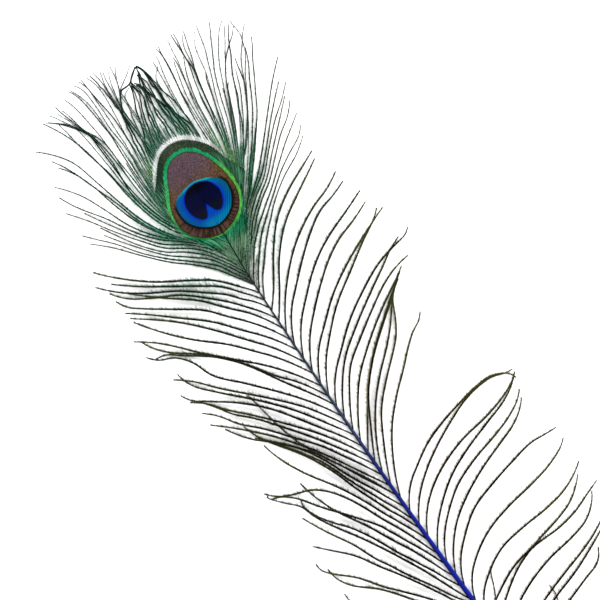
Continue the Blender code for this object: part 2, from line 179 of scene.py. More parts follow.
VANE_RIGHT = (
    (-52, (8, -41), (20.4, -26.5), (30, -17.8), (40, -11.3), (50, -6.3), (58.5, 0)),
    (-49, (8, -37.5), (20, -24), (30, -14), (42.7, -3.3), (56.5, 7), (62.2, 11.2)),
    (-46, (10, -30), (25, -12), (36, 0), (47, 10), (56, 18), (66.3, 27)),
    (-43, (10, -25.5), (20, -13), (35, 2.5), (50.5, 19.5), (62, 32), (70, 39.5)),
    (-40, (8, -23), (18, -10.5), (28, 1), (38, 13), (52, 33), (64.5, 57)),
    (-37.5, (8, -20), (16, -8.5), (24, 3), (33, 18), (48, 48), (60, 65)),
    (-35, (8, -17), (15, -6.5), (21, 4), (27, 18), (39, 50), (51, 74)),
    (-31, (8, -15), (15, -5.5), (20, 4), (24, 16), (31, 53), (38.5, 78)),
    (-23, (7, -12.5), (13.5, -3), (17.8, 7), (18.5, 22), (19.5, 52), (23.3, 77.5)),
    (-9, (5, 1), (9, 12), (11.5, 25), (13.5, 40), (14, 56), (11, 75)),
    (12, (0.4, 20), (1.6, 27), (2.6, 34), (3.6, 45), (4.5, 60), (4, 76)),
)
# Barbs that leave the shaft below the closed vane: first three on the right that run past its widest
# place, then the others of each side.
BAND_RIGHT = (
    (-40, (8, -23.2), (15.5, -12.8), (20, -8), (24, -2.8), (28, 2.2), (32, 7), (36, 12), (40, 17.7),
     (43.4, 22.3), (47.6, 29.4), (52.6, 39), (56.5, 45.7), (59.25, 52.8)),
    (-40.7, (8, -23.7), (15.8, -13.3), (20.2, -8.7), (24.3, -3.6), (28.3, 1.4), (32.4, 6.2), (36.2, 10.6),
     (41, 16.5)),
    (-41.5, (8, -24.2), (16, -13.9), (20.5, -9.3), (24.6, -4.4), (28.7, 0.6), (32.8, 5.4), (36.8, 10.4),
     (41.6, 16.6), (46.3, 22.8), (50.9, 31), (55.5, 39), (59.25, 46), (63.4, 52.6), (64.7, 55.5)),
)
LOWER_RIGHT = (
    (-37.5, (8, -22.5), (14.3, -15.6), (18.6, -12.3), (22.6, -8.9), (26.2, -6), (30, -2.7), (35, 2.5),
     (50.5, 19.5), (62, 32), (70, 39.5)),
    (-39, (8, -24.5), (14.6, -16.6), (18.8, -12.9), (24, -9), (30, -5), (38, 3), (51, 17), (64.5, 30)),
    (-41, (8, -27), (13.5, -19.9), (17.6, -15.8), (22, -12.3), (30, -7), (40, 3.2), (52, 14.8), (60, 21),
     (66.3, 27)),
    (-42.5, (8, -28.4), (14.6, -20.8), (18.2, -17.6), (22.3, -14.4), (24.6, -12.5), (30, -9), (41, 1.5),
     (50, 10), (62, 21.5)),
    (-44, (-1, -39.6), (3, -34.5), (8, -29), (12.9, -24.9), (16.4, -21.1), (20.5, -17.6), (25.2, -14),
     (30, -11), (41.2, -1), (50, 7), (58, 12.7), (63, 18.5)),
    (-48, (-0.9, -43.8), (2, -39.8), (5, -35.5), (8, -31.5), (11, -28.8), (14.6, -25.2), (19, -22),
     (23.5, -18.5), (30, -13.8), (42.7, -3.3), (50, 2.5), (56.5, 7), (62.2, 11.2)),
    (-52.5, (-1.5, -49.6), (1.4, -44.6), (5.8, -38.8), (10.8, -32.6), (14.6, -28.5), (19.4, -24.6),
     (24, -20.8), (31, -15.3), (40, -8.3), (50, -2.5), (56, 0.5), (60.6, 5)),
    (-57.5, (-1.2, -53.2), (2.3, -47.3), (6.7, -42), (10.5, -37.3), (14.35, -32.9), (18.2, -28.8),
     (22.3, -25.2), (26, -21.5), (30, -18.2), (40, -11.3), (50, -6.3), (58.5, 0)),
)
LOWER_LEFT = (
    (-48.5, (-5.6, -44.5), (-9.3, -39.2), (-12.1, -34.8), (-15.4, -30.6), (-19.6, -26.2), (-24, -22),
     (-30, -17.2), (-42, -4.6), (-53, 8), (-60, 14.5)),
    (-46.5, (-5.4, -42.8), (-9.3, -36.7), (-12.1, -31.4), (-15.4, -27.8), (-19.3, -24.2), (-23.8, -20.3),
     (-30, -15.2), (-41, -4), (-50, 8), (-56, 14.5), (-61.2, 20.3)),
    (-44.3, (-5.6, -39.6), (-9, -33.5), (-12.7, -27.8), (-16, -23.9), (-19.9, -20.9), (-24.3, -17.3),
     (-30, -13), (-38, -4.2), (-46, 6), (-52, 14.5)),
    (-42, (-6.5, -35), (-10.5, -28.5), (-14.9, -22.6), (-19.3, -18.4), (-24, -14.6), (-30, -10.8),
     (-38, -2.5), (-47, 11), (-51.5, 18.5)),
    (-39.5, (-8, -29.8), (-12.8, -22.5), (-17.4, -17.3), (-21.3, -14.2), (-25, -11.8), (-30, -8.3),
     (-37, 0), (-46, 12), (-55, 25.5), (-61.7, 34)),
    (-37.3, (-7.5, -27.5), (-12.5, -20.2), (-17.5, -15), (-22, -11.5), (-26, -9), (-30, -5.9), (-38, 4),
     (-46, 16), (-54, 29)),
    (-35.2, (-8, -25), (-13, -18), (-18, -13), (-23, -8.8), (-28, -5), (-32, -1), (-39, 8), (-46, 20),
     (-56, 34.5), (-60, 42.5)),
    (-33.5, (-9, -22), (-14, -16), (-19, -11), (-24, -6.8), (-28, -3.2), (-31, 0), (-38, 10), (-45, 26),
     (-50, 36.5), (-59, 48)),
    (-32, (-9.5, -20.5), (-14.5, -15.2), (-17.1, -13.4), (-20.2, -10.5), (-22.6, -7.8), (-26.6, -2.6),
     (-30.6, 3.4), (-35, 12), (-38.5, 22), (-43.5, 40), (-46, 46), (-52, 55)),
    (-31, (-9.5, -20), (-14.5, -14.8), (-17, -12.9), (-20, -10), (-22.1, -7.5), (-26, -2.4), (-30, 3.6),
     (-34, 12), (-37, 22), (-43, 38), (-49.5, 54), (-53, 59.5)),
    (-30, (-9.5, -19.5), (-14.5, -14.3), (-16.9, -12.4), (-19.8, -9.6), (-21.7, -7), (-25.4, -2),
     (-29.2, 4.2), (-33, 13), (-36, 23), (-40, 38), (-45, 54), (-50, 61), (-57, 68)),
    (-28.6, (-10, -18.5), (-17.5, -9.8), (-22, -3), (-25, 3), (-30, 20), (-33, 40), (-37.5, 60),
     (-42, 70.5), (-46, 77.5)),
    (-27.4, (-9, -18.5), (-17, -8.5), (-24, 4), (-28.5, 20), (-28, 45), (-30, 59.5), (-36, 69),
     (-43.5, 76.5)),
)
# The loose barbs, from the eye down to the quill.
LOOSE_RIGHT = (
    (-64, (3.5, -55.4), (13.5, -40.4), (25, -27), (40, -17.2), (50, -12.6), (58, -8.8)),
    (-70.5, (5, -58.5), (15, -43.5), (27.3, -30.8), (40, -22.8), (50, -17), (57, -12.8)),
    (-77.5, (5, -63.5), (15, -52), (25, -43), (35, -36.5), (45, -31.7), (53, -29), (58, -26.5), (62, -24)),
    (-85, (5, -69.2), (15, -59.2), (25, -50), (35, -42), (45, -35.8), (54, -33.3), (62.5, -30)),
    (-93, (5, -77.7), (15, -67.6), (25, -58.7), (35, -52), (45, -47.3), (55, -43.5), (66.8, -38.7)),
    (-101, (4.6, -86.1), (15, -75), (25, -66), (35, -58.3), (45, -52.8), (55, -49.5), (66, -44.8)),
    (-108.3, (5, -93.3), (15, -84), (25, -75.4), (40, -66), (55, -58.8), (71.5, -52)),
    (-115.5, (5, -100), (15, -89), (25, -79.7), (40, -69.6), (55, -59.8), (65, -54), (69, -50.5)),
    (-122.5, (5, -108.3), (15, -99), (25, -90.5), (40, -81), (55, -73.8), (67, -70.8), (74, -69.3),
     (76.5, -67)),
    (-129.5, (5, -114.5), (15, -102.8), (25, -95.3), (40, -85.5), (55, -76.5), (64, -71), (70, -68.5)),
    (-137, (5, -121), (15, -107.5), (25, -100.3), (40, -90.4), (50, -84.5), (59, -80.8), (68.5, -79)),
    (-143.5, (5, -128.3), (15, -115.2), (25, -106.5), (40, -95.6), (50, -89.5), (57, -85.5), (63, -81.5)),
    (-150, (5, -137), (15, -122.5), (25, -111.5), (40, -99), (50, -91.3), (61, -83.3)),
    (-156, (5, -140), (14, -124.3), (25, -112), (40, -99.6), (50, -92), (59, -84.5)),
    (-163, (5, -144.5), (15, -129.5), (25, -119), (35, -110), (42, -102.5), (48, -95), (52, -90.5),
     (58, -86)),
    (-170, (6, -150), (15, -134.5), (25, -124), (35, -115), (41, -109), (46, -101), (50, -93), (54, -88.5)),
    (-179, (5, -160), (15, -144), (25, -133.3), (35, -124.5), (43, -117), (50, -111.5), (55, -109),
     (58, -105.5)),
    (-186.5, (5, -175), (15, -167.5), (25, -161.5), (35, -157.8), (50, -154), (60, -152.2), (68, -151.8),
     (75, -154.3), (78.5, -157.5), (79.2, -160)),
    (-194.5, (5, -183), (15, -173.7), (25, -167), (40, -159.3), (52, -154.5), (62, -152.6), (70, -152.8),
     (76, -155), (80, -155.4)),
    (-202, (5, -190), (15, -181), (25, -175.3), (40, -170), (55, -167.5), (65, -165), (75, -161),
     (80.5, -157)),
    (-210.5, (5, -199.5), (15, -189.5), (25, -182), (40, -175), (55, -170), (68, -165.7), (74, -162.5),
     (78.5, -159)),
    (-218.5, (5, -205.5), (15, -195), (25, -187.5), (40, -181.3), (55, -177.3), (66, -173.5), (74, -169),
     (77.5, -165.5)),
    (-226, (5, -213.5), (15, -202), (25, -195), (40, -187.5), (55, -182), (65, -178.3), (72, -173.8),
     (76, -169.5)),
    (-234, (5, -220), (15, -209.5), (25, -202), (40, -196.7), (55, -193), (68, -190.7), (76, -191.4),
     (82, -191.7)),
    (-244, (5, -230), (15, -220.7), (25, -215), (40, -210.5), (55, -208), (70, -204.5), (79, -200.5),
     (82, -198)),
    (-254, (5, -240.5), (15, -231.5), (25, -226), (40, -223.2), (55, -222), (67, -219.8), (76, -216),
     (82, -212)),
    (-262, (5, -249), (15, -242), (25, -237), (40, -234), (55, -233.5), (66, -231.5), (77, -227.5),
     (84, -225)),
    (-269, (6, -255), (17, -245), (27, -238.5), (42, -233), (57, -229.5), (67, -226), (74, -221),
     (78, -217)),
    (-277, (7, -262), (18, -253), (28, -248), (43, -243.3), (58, -241), (68, -238.3), (75, -233.3),
     (79, -228)),
    (-284, (8, -270), (18, -264.5), (28, -259.5), (45, -253.5), (60, -249), (70, -245), (80, -239)),
    (-290, (9, -276), (20, -268.5), (32, -262), (50, -256), (62, -251), (72, -246.5), (79, -244)),
    (-296, (10, -283), (25, -272), (40, -266), (52, -262), (62, -258.5), (66, -253)),
)
LOOSE_LEFT = (
    (-53.5, (-6, -49.5), (-9.9, -45), (-15.2, -38.8), (-19.3, -34.8), (-26, -30.3), (-45, -18.5),
     (-57, -8.5), (-67, 2)),
    (-57.5, (-6.6, -52.8), (-10.4, -48.4), (-14.3, -43.4), (-19.3, -38.4), (-24.6, -34.8), (-38, -26),
     (-50, -18), (-62.7, -8)),
    (-62.5, (-8.2, -55), (-12.7, -50.5), (-16.8, -45.3), (-21, -41.7), (-26, -37.8), (-36, -30), (-50, -22),
     (-60, -15), (-70, -5)),
    (-68.5, (-7.7, -61.7), (-12.1, -56.1), (-16.6, -50.6), (-20.2, -46.7), (-26, -41.2), (-36, -32.5),
     (-50, -25), (-60, -18.5), (-66, -11.5)),
    (-74.8, (-9.9, -63.3), (-14.9, -56.7), (-18.2, -53.4), (-24.3, -46.4), (-30, -40), (-42, -30.5),
     (-50, -24), (-58, -17)),
    (-81.5, (-9.3, -71.1), (-13.2, -65.6), (-17.7, -60), (-22.7, -54.6), (-30, -46), (-45, -35),
     (-57, -26.5), (-62, -22.5), (-65.5, -16.5)),
    (-87.8, (-9.9, -77.2), (-14.9, -70.6), (-20.4, -64.4), (-30, -53), (-45, -40), (-57, -30), (-65, -24)),
    (-95.5, (-9.9, -84.4), (-14.9, -77.2), (-20.4, -70.6), (-32, -56.5), (-47, -41), (-57, -33),
     (-64.5, -27.5)),
    (-101.8, (-9.9, -91.1), (-15.4, -83.3), (-21, -76.7), (-30, -66.5), (-45, -53), (-55, -42), (-64, -30)),
    (-109.5, (-9.3, -100), (-14.9, -92.2), (-20.4, -85.6), (-33, -73), (-45, -61), (-54, -51), (-62, -43.5),
     (-69.3, -38.3)),
    (-115.5, (-8.8, -106.1), (-13.8, -98.9), (-18.8, -93.3), (-26, -82.8), (-33, -74), (-45, -62),
     (-57, -53), (-63, -46.5), (-66.5, -40)),
    (-120.5, (-6.6, -115), (-11, -107.8), (-15.4, -101.1), (-19.9, -93.9), (-23.2, -88.3), (-27, -82),
     (-40, -67), (-53, -57.5), (-60, -52.5), (-65, -51.5)),
    (-127.6, (-8, -119.6), (-12.1, -113.3), (-16.6, -107.2), (-21.6, -101.1), (-35, -86), (-46, -74),
     (-51, -62.5), (-57, -56), (-64, -53), (-68.7, -48)),
    (-133.5, (-7.1, -127.2), (-11.8, -119.8), (-15.4, -114.4), (-20.4, -108.3), (-33, -95), (-47, -81),
     (-56, -71), (-63.7, -65)),
    (-139.3, (-6.6, -133.9), (-11, -127.2), (-15.6, -120), (-21, -112.2), (-34, -97), (-49, -82),
     (-57, -73), (-59.5, -68), (-60.3, -63.8)),
    (-146, (-9.9, -134.4), (-14.9, -127.2), (-19.9, -119.7), (-33, -102), (-43, -92.5), (-55, -83.7),
     (-62, -78.5), (-65, -73.5)),
    (-151.7, (-9.3, -141.1), (-13.8, -133.9), (-19.3, -126.1), (-24.3, -120), (-32, -111), (-42, -100),
     (-50, -92), (-56, -84.5), (-63, -79.3)),
    (-157.3, (-9.9, -145.6), (-14.9, -137.8), (-20.4, -129.4), (-26, -121.7), (-32, -114), (-40, -104),
     (-49, -95), (-53, -89), (-57, -84)),
    (-163.5, (-9.9, -151.1), (-14.9, -142.8), (-19.9, -134.4), (-26, -126.7), (-30, -122), (-40, -110),
     (-49, -101), (-55, -92.5), (-61, -87)),
    (-169.5, (-9.3, -158.9), (-13.8, -151.1), (-18.2, -143.3), (-22.7, -136.1), (-28, -128.5), (-37, -117),
     (-46, -107.5), (-54, -100), (-61, -94)),
    (-175.7, (-8.8, -164.4), (-12.7, -157.2), (-16.6, -149.4), (-21, -141.7), (-24.9, -134.8), (-28, -131),
     (-39, -119), (-48, -111), (-52, -106), (-56, -100)),
    (-183.5, (-4, -180.4), (-5.4, -177.7), (-6.9, -174.6), (-8.1, -172.3), (-9.6, -168.8), (-11.5, -165),
     (-14.4, -159.6), (-18.5, -151.1), (-21.4, -143.9), (-25, -136.8), (-29, -130.5), (-38, -120),
     (-46, -112)),
    (-190.5, (-4.8, -185.8), (-6.2, -182), (-8.1, -178), (-10, -174.2), (-11.9, -170), (-14.2, -165),
     (-16.6, -159.8), (-19.6, -152.6), (-22.2, -146), (-25.4, -139), (-30.2, -131.8), (-37, -122.2),
     (-43, -115.5)),
    (-196, (-5.4, -189.6), (-7.6, -184.2), (-10, -180), (-12.3, -174.6), (-14.4, -169.6), (-17.7, -161.6),
     (-22.7, -147.5), (-31, -131.5), (-39, -120.5), (-44, -113), (-47.5, -104)),
    (-204, (-5, -196.5), (-6.9, -192.3), (-8.65, -188.8), (-10.6, -184.6), (-13.1, -179.6), (-15, -175.3),
     (-17.3, -170), (-19.5, -165.5), (-22.7, -159.4), (-26, -153.8), (-34, -142), (-40, -131), (-43, -123),
     (-44.5, -117.5)),
    (-212, (-4.4, -206.2), (-6.8, -200), (-9.2, -194.2), (-11.2, -189.6), (-13.5, -185), (-15.8, -180.4),
     (-18.1, -175), (-20.4, -170), (-22.9, -165), (-37, -149), (-47, -145.5), (-54, -141.7),
     (-58, -137.5)),
    (-218, (-4.4, -212.3), (-5.8, -208.8), (-7.3, -205.5), (-10, -200), (-12.7, -194.6), (-14.2, -191.2),
     (-16.2, -187.7), (-17.7, -184.2), (-20, -180.8), (-28, -170.5), (-38, -158.5), (-47, -147),
     (-53, -142.8), (-57.5, -141.5), (-57.5, -139.5)),
    (-225, (-3.8, -221.2), (-5.4, -217.3), (-6.9, -213.5), (-8.5, -210), (-10, -206.5), (-12.9, -200.2),
     (-16.2, -194.4), (-18, -190.8), (-20, -187), (-21.9, -182.9), (-25.6, -176.4), (-33, -164),
     (-37.5, -153), (-40, -143.5)),
    (-232, (-4.4, -226.2), (-6.2, -222.7), (-8.1, -218.5), (-9.6, -215.4), (-11.5, -212), (-13.5, -208),
     (-15.3, -204.6), (-17.7, -200.4), (-19.2, -197.7), (-20.8, -194.2), (-22.5, -190.6), (-24.4, -186.7),
     (-27.2, -181.8), (-30, -177.2), (-38, -167.5), (-43.5, -159), (-45, -154.5), (-44.3, -150)),
    (-240, (-3.8, -234.2), (-5.4, -230.8), (-7, -227), (-8.5, -223.4), (-10, -220), (-11.5, -216.6),
     (-13, -213.2), (-14.8, -209.6), (-17.7, -204), (-20.4, -198.8), (-24.3, -191.8), (-28.2, -185),
     (-31.5, -179.8), (-37, -171.5), (-43, -161), (-46, -153), (-51, -148), (-56.5, -142)),
    (-241.5, (-5.4, -236.3), (-8.5, -231.5), (-11.5, -226), (-14.6, -220.6), (-18.1, -215), (-22.3, -208),
     (-26, -201), (-28, -198), (-35, -183), (-42, -171.5), (-49, -158)),
    (-248.5, (-9.2, -233.8), (-10.8, -230.4), (-12.7, -227), (-14.6, -223.8), (-16.5, -220.4),
     (-18.5, -217), (-20.4, -214), (-24.2, -208), (-28.4, -202), (-38, -187.5), (-46, -179.5),
     (-52.5, -173)),
    (-256, (-11.5, -236.5), (-17.3, -228.2), (-20, -224.8), (-25, -219), (-30, -213.4), (-33, -210.2),
     (-43, -197.5), (-52, -189.5), (-55.5, -185.5), (-56, -181)),
    (-263, (-12, -243), (-24, -224.5), (-37, -208.3), (-47, -199.8), (-51, -194), (-52.5, -186.5)),
    (-268, (-12, -252), (-24, -236), (-38, -222), (-47, -214), (-51.5, -208), (-52.5, -201.5)),
    (-276, (-12, -261), (-25, -246), (-38, -234), (-48, -226), (-55, -218.5)),
    (-284, (-12, -270), (-26, -255), (-40, -244), (-50, -237), (-55, -231)),
    (-291, (-12, -279), (-26, -266), (-40, -256), (-51, -249.5)),
)

# Stray barbs that lie across the others.
STRAYS_LEFT = (
    (-176, (-12, -157), (-21.5, -141), (-28, -128), (-31, -120), (-33, -112), (-35.5, -100), (-37, -92)),
)
STRAYS_RIGHT = (
    (-264, (4, -256), (9, -245), (12, -239), (14.5, -233), (16, -231)),
    (-299, (11, -289), (22, -280), (31, -270), (34.2, -264), (35.4, -258.5), (35, -255)),
)

# Barbs of the upper fringe: how strongly each shows, then its course after it has left the vane.
FRINGE_LEFT = (
    (0.4, (-22.3, 12), (-22.7, 18), (-22.9, 24), (-22.7, 30), (-22.5, 38)),
    (0.4, (-21.2, 14), (-21.2, 20), (-20.9, 26), (-20.4, 33), (-20.1, 40)),
    (0.5, (-19.9, 18), (-19.6, 24), (-19.2, 30), (-18.8, 37)),
    (0.4, (-18.5, 20), (-18.3, 26), (-18, 32), (-17.6, 40)),
    (1.0, (-28.4, 30), (-28.8, 42), (-29.4, 52.6), (-29.9, 59.7), (-31.2, 63), (-33.3, 66), (-35, 69),
     (-38, 72), (-41.2, 74.7), (-44.5, 77)),
    (0.6, (-31, 29.7), (-32.5, 40), (-34.2, 46), (-36, 53), (-37.4, 60), (-38.5, 67.5), (-39.8, 72.5)),
    (0.4, (-29.5, 29), (-30.2, 38), (-31.2, 48.4), (-32, 56.3), (-32.9, 63), (-35.2, 70), (-37.3, 73),
     (-39.3, 76.8), (-41.4, 79.3)),
    (0.9, (-25.6, 28.8), (-26, 38), (-26.6, 45), (-27.7, 52.6), (-28.9, 58), (-30.2, 61.3), (-31.4, 64.7),
     (-32.7, 68), (-33.5, 71.3), (-34.8, 75), (-35.8, 78.4), (-36.3, 81)),
    (0.5, (-24, 28.8), (-24.6, 36), (-25.2, 43), (-25.6, 51.3), (-26.5, 54.7), (-27.7, 58), (-30.2, 62),
     (-31.4, 65.5), (-32.2, 70), (-33, 73.8), (-34.5, 77.6)),
    (0.3, (-25.4, 48), (-27, 56), (-30, 60.5), (-32.3, 64.5), (-34.3, 71.3), (-36, 74.7), (-37.5, 78)),
    (0.5, (-24, 28.8), (-25.2, 43), (-25.5, 52), (-25.8, 58), (-26.5, 63), (-27.1, 68.8), (-28.1, 74.3),
     (-29.3, 78.8), (-30.5, 81.8)),
    (0.8, (-21.8, 29.7), (-21.6, 40), (-21.4, 46.3), (-21, 52.6), (-21.4, 58), (-21.8, 62.2), (-22.3, 67.2),
     (-22.7, 71.3), (-23.3, 75.5), (-23.9, 78.4), (-25.2, 81.8), (-26.4, 83.8)),
    (0.4, (-20.5, 40), (-20.3, 46), (-20.8, 55), (-21, 62), (-21, 68), (-21.4, 72.2), (-22, 75.5),
     (-23.5, 79.7), (-25.2, 83.4)),
    (0.5, (-18.9, 30.2), (-18.5, 38), (-18.3, 44.3), (-18.9, 50.5), (-19.5, 56.8), (-19.3, 63),
     (-19.1, 68.4), (-19.3, 73.4), (-19.5, 77.6), (-20, 80.5), (-21, 82.6), (-22.7, 84.7)),
    (0.4, (-18.3, 36), (-17.5, 46.3), (-17.5, 52.6), (-17.3, 58.8), (-17.3, 64.7), (-17.5, 72),
     (-17.7, 80.5), (-18.5, 82.6), (-19.3, 84.9)),
    (0.8, (-16.6, 31.8), (-16, 38), (-15.4, 43), (-15.2, 48.4), (-15, 54.7), (-15.2, 61), (-15.8, 66.3),
     (-16.4, 70), (-17, 74.7), (-17.6, 80), (-17.9, 84.9)),
    (0.4, (-14.75, 51.3), (-14.1, 56.3), (-13.5, 61.3), (-13.1, 65.9), (-12.7, 70.5), (-12.7, 74.7),
     (-13.1, 78.4), (-13.9, 81.8), (-15.2, 84.3)),
    (0.4, (-10.4, 66), (-10.4, 70), (-10.1, 74.3), (-10, 78.4), (-10.6, 82.2), (-11.2, 84.5)),
    (0.4, (-10, 63.8), (-9.8, 68.4), (-9.75, 73.4), (-9.3, 77.2), (-8.5, 80.5), (-7.7, 83.8)),
    (0.35, (-9.3, 62.6), (-8.7, 66.3), (-8.3, 70.5), (-7.9, 74.3), (-7.5, 78.8), (-6.8, 82.2)),
    (0.3, (-9, 61.5), (-7.9, 68.4), (-7.25, 71.3), (-6.6, 75), (-5.6, 78), (-4.3, 80.9)),
    (0.4, (-8.9, 61.3), (-6, 68), (-5.4, 69.7), (-4.3, 71.3), (-3.7, 73.4), (-3.1, 76.3), (-2.7, 78.8),
     (-2.25, 82.6)),
    (0.3, (-4.5, 71.5), (-3.5, 74.3), (-2.5, 76.7), (-1.4, 78.8), (-0.2, 80.9)),
    (0.25, (-5.5, 69), (-3.5, 70.5), (-1.8, 71.8), (0.25, 73), (2.3, 74.3), (3.8, 75.5), (5.25, 76.8),
     (6.9, 77.8)),
)
# The looped and tangled barbs at the tip of the feather, given in the same way.
TUFT_LEFT = (
    (0.8, (-14.5, 33), (-13.9, 38), (-13.5, 43), (-12.5, 49), (-11.4, 55), (-10.6, 59), (-10.8, 64),
     (-11, 70), (-11.5, 75), (-12.3, 80), (-13, 84)),
    (1.0, (-13, 33), (-12.1, 37), (-11.7, 42), (-11.2, 48), (-10.7, 54), (-10.2, 59.3), (-9, 61.5),
     (-7.6, 64), (-6.5, 67), (-5.5, 68.5), (-4, 69.4), (-2, 69.6), (0, 69.3), (2, 70.3), (4, 72), (6, 74),
     (7.6, 75), (8.8, 75.2)),
    (0.5, (-11.5, 33), (-10.6, 38), (-9.4, 43), (-8.3, 48), (-7.3, 53), (-6.4, 57.5), (-5.6, 61),
     (-5, 63.8), (-4.3, 66.8), (-2.25, 68), (-0.6, 68.6)),
    (0.9, (-10, 36), (-9.2, 40), (-7.8, 43.3), (-6.5, 46), (-5.5, 50), (-4.8, 52), (-3.8, 56), (-2.75, 59),
     (-1.2, 62), (0, 64.5), (0.7, 67.3), (1, 69.2)),
    (0.6, (-7.6, 36), (-6.6, 40), (-5.2, 46), (-3.9, 50.5), (-2.4, 54), (-1.2, 58), (0.2, 61.5), (0.9, 65),
     (1.2, 68)),
    (0.8, (-5.6, 37), (-4.8, 40.5), (-3.8, 45), (-2.1, 52), (-1, 55.5), (0.5, 58.5), (1.9, 61.5), (2.4, 64),
     (2.1, 66.5), (1.2, 69)),
)
TUFT_RIGHT = (
    (0.6, (-3, 37), (-2, 42), (-0.8, 48), (0.2, 52.5), (1, 55.5), (2, 58), (3.1, 60.3), (3.9, 63.5),
     (3.2, 66.5), (2.6, 68.6), (2.2, 70)),
    (0.9, (-1.4, 36.5), (-0.6, 41), (0, 46), (0.6, 50.5), (1.4, 54.5), (2.4, 58), (3.4, 61.5), (2.8, 65),
     (1.4, 68), (1.2, 69.8), (3, 71.4), (5.5, 73.4), (8, 75.4)),
    (0.6, (0, 37), (0.6, 43), (1.4, 48), (2.4, 53), (3.4, 57), (4.6, 60), (5, 63), (4.6, 66), (3.4, 68.4)),
    (0.9, (3.2, 36.5), (3.9, 42), (3.6, 47.5), (4.3, 51), (5, 54.5), (5.7, 58), (6, 60.5), (5.5, 63.5),
     (5.25, 66), (6, 69), (6.8, 70.7), (7.5, 72)),
    (0.8, (5.6, 37), (5.5, 41), (5.4, 45), (5.2, 50), (5, 54), (4.7, 58), (5.2, 61), (4.6, 64.5),
     (3.6, 67.5)),
    (0.6, (8, 36), (7.6, 41), (7.2, 46), (7, 51), (7.4, 55), (7.6, 59), (6.9, 63.5), (7.2, 67), (7.5, 69),
     (8.2, 71.5), (8, 73.5), (8.5, 75)),
    (0.8, (10.2, 35), (9.6, 39), (9.4, 43), (9.3, 48), (9.2, 52), (8.3, 55.5), (7, 58.5), (6.2, 60.3),
     (5.9, 63), (5.4, 66), (4.5, 67.6), (3, 68.8)),
    (0.7, (12, 35), (11.6, 40), (10.9, 45), (10.4, 50), (10.2, 55), (10.4, 60), (11, 64), (11.4, 68),
     (11, 71), (9.8, 74)),
    (1.0, (13.6, 33.5), (13, 37), (12.3, 42), (11.4, 48), (11, 52), (11, 56), (11.3, 59), (10.3, 61.5),
     (9.4, 63.5), (10, 66), (10.7, 69), (10.3, 72), (9.3, 74.6)),
    (1.0, (15.6, 32), (14.9, 36.5), (14.4, 39), (12.6, 43), (11, 47.5), (10, 50), (9, 53), (8, 56),
     (7.1, 58.3), (6.3, 60.3), (6.2, 63), (6.6, 66), (7, 69), (6.7, 71.5)),
    (1.0, (11.6, 35), (11.2, 40), (10.6, 46), (10.8, 52), (11, 58), (11.2, 64), (11.2, 68), (10.9, 71),
     (10.2, 73.6), (8.8, 75.6)),
    (0.8, (9, 36), (8.4, 42), (8, 48), (7.6, 54), (8.2, 60), (8.8, 64), (8.3, 68), (7.2, 70.5), (7.9, 72.8),
     (8.6, 75)),
    (0.7, (15.9, 36), (15.3, 44), (15.4, 47.5), (14.8, 50.5), (13.5, 54.5), (12.8, 58), (12.3, 61),
     (12, 63.5), (11.3, 68.5), (10.5, 72), (9.4, 74.8)),
)
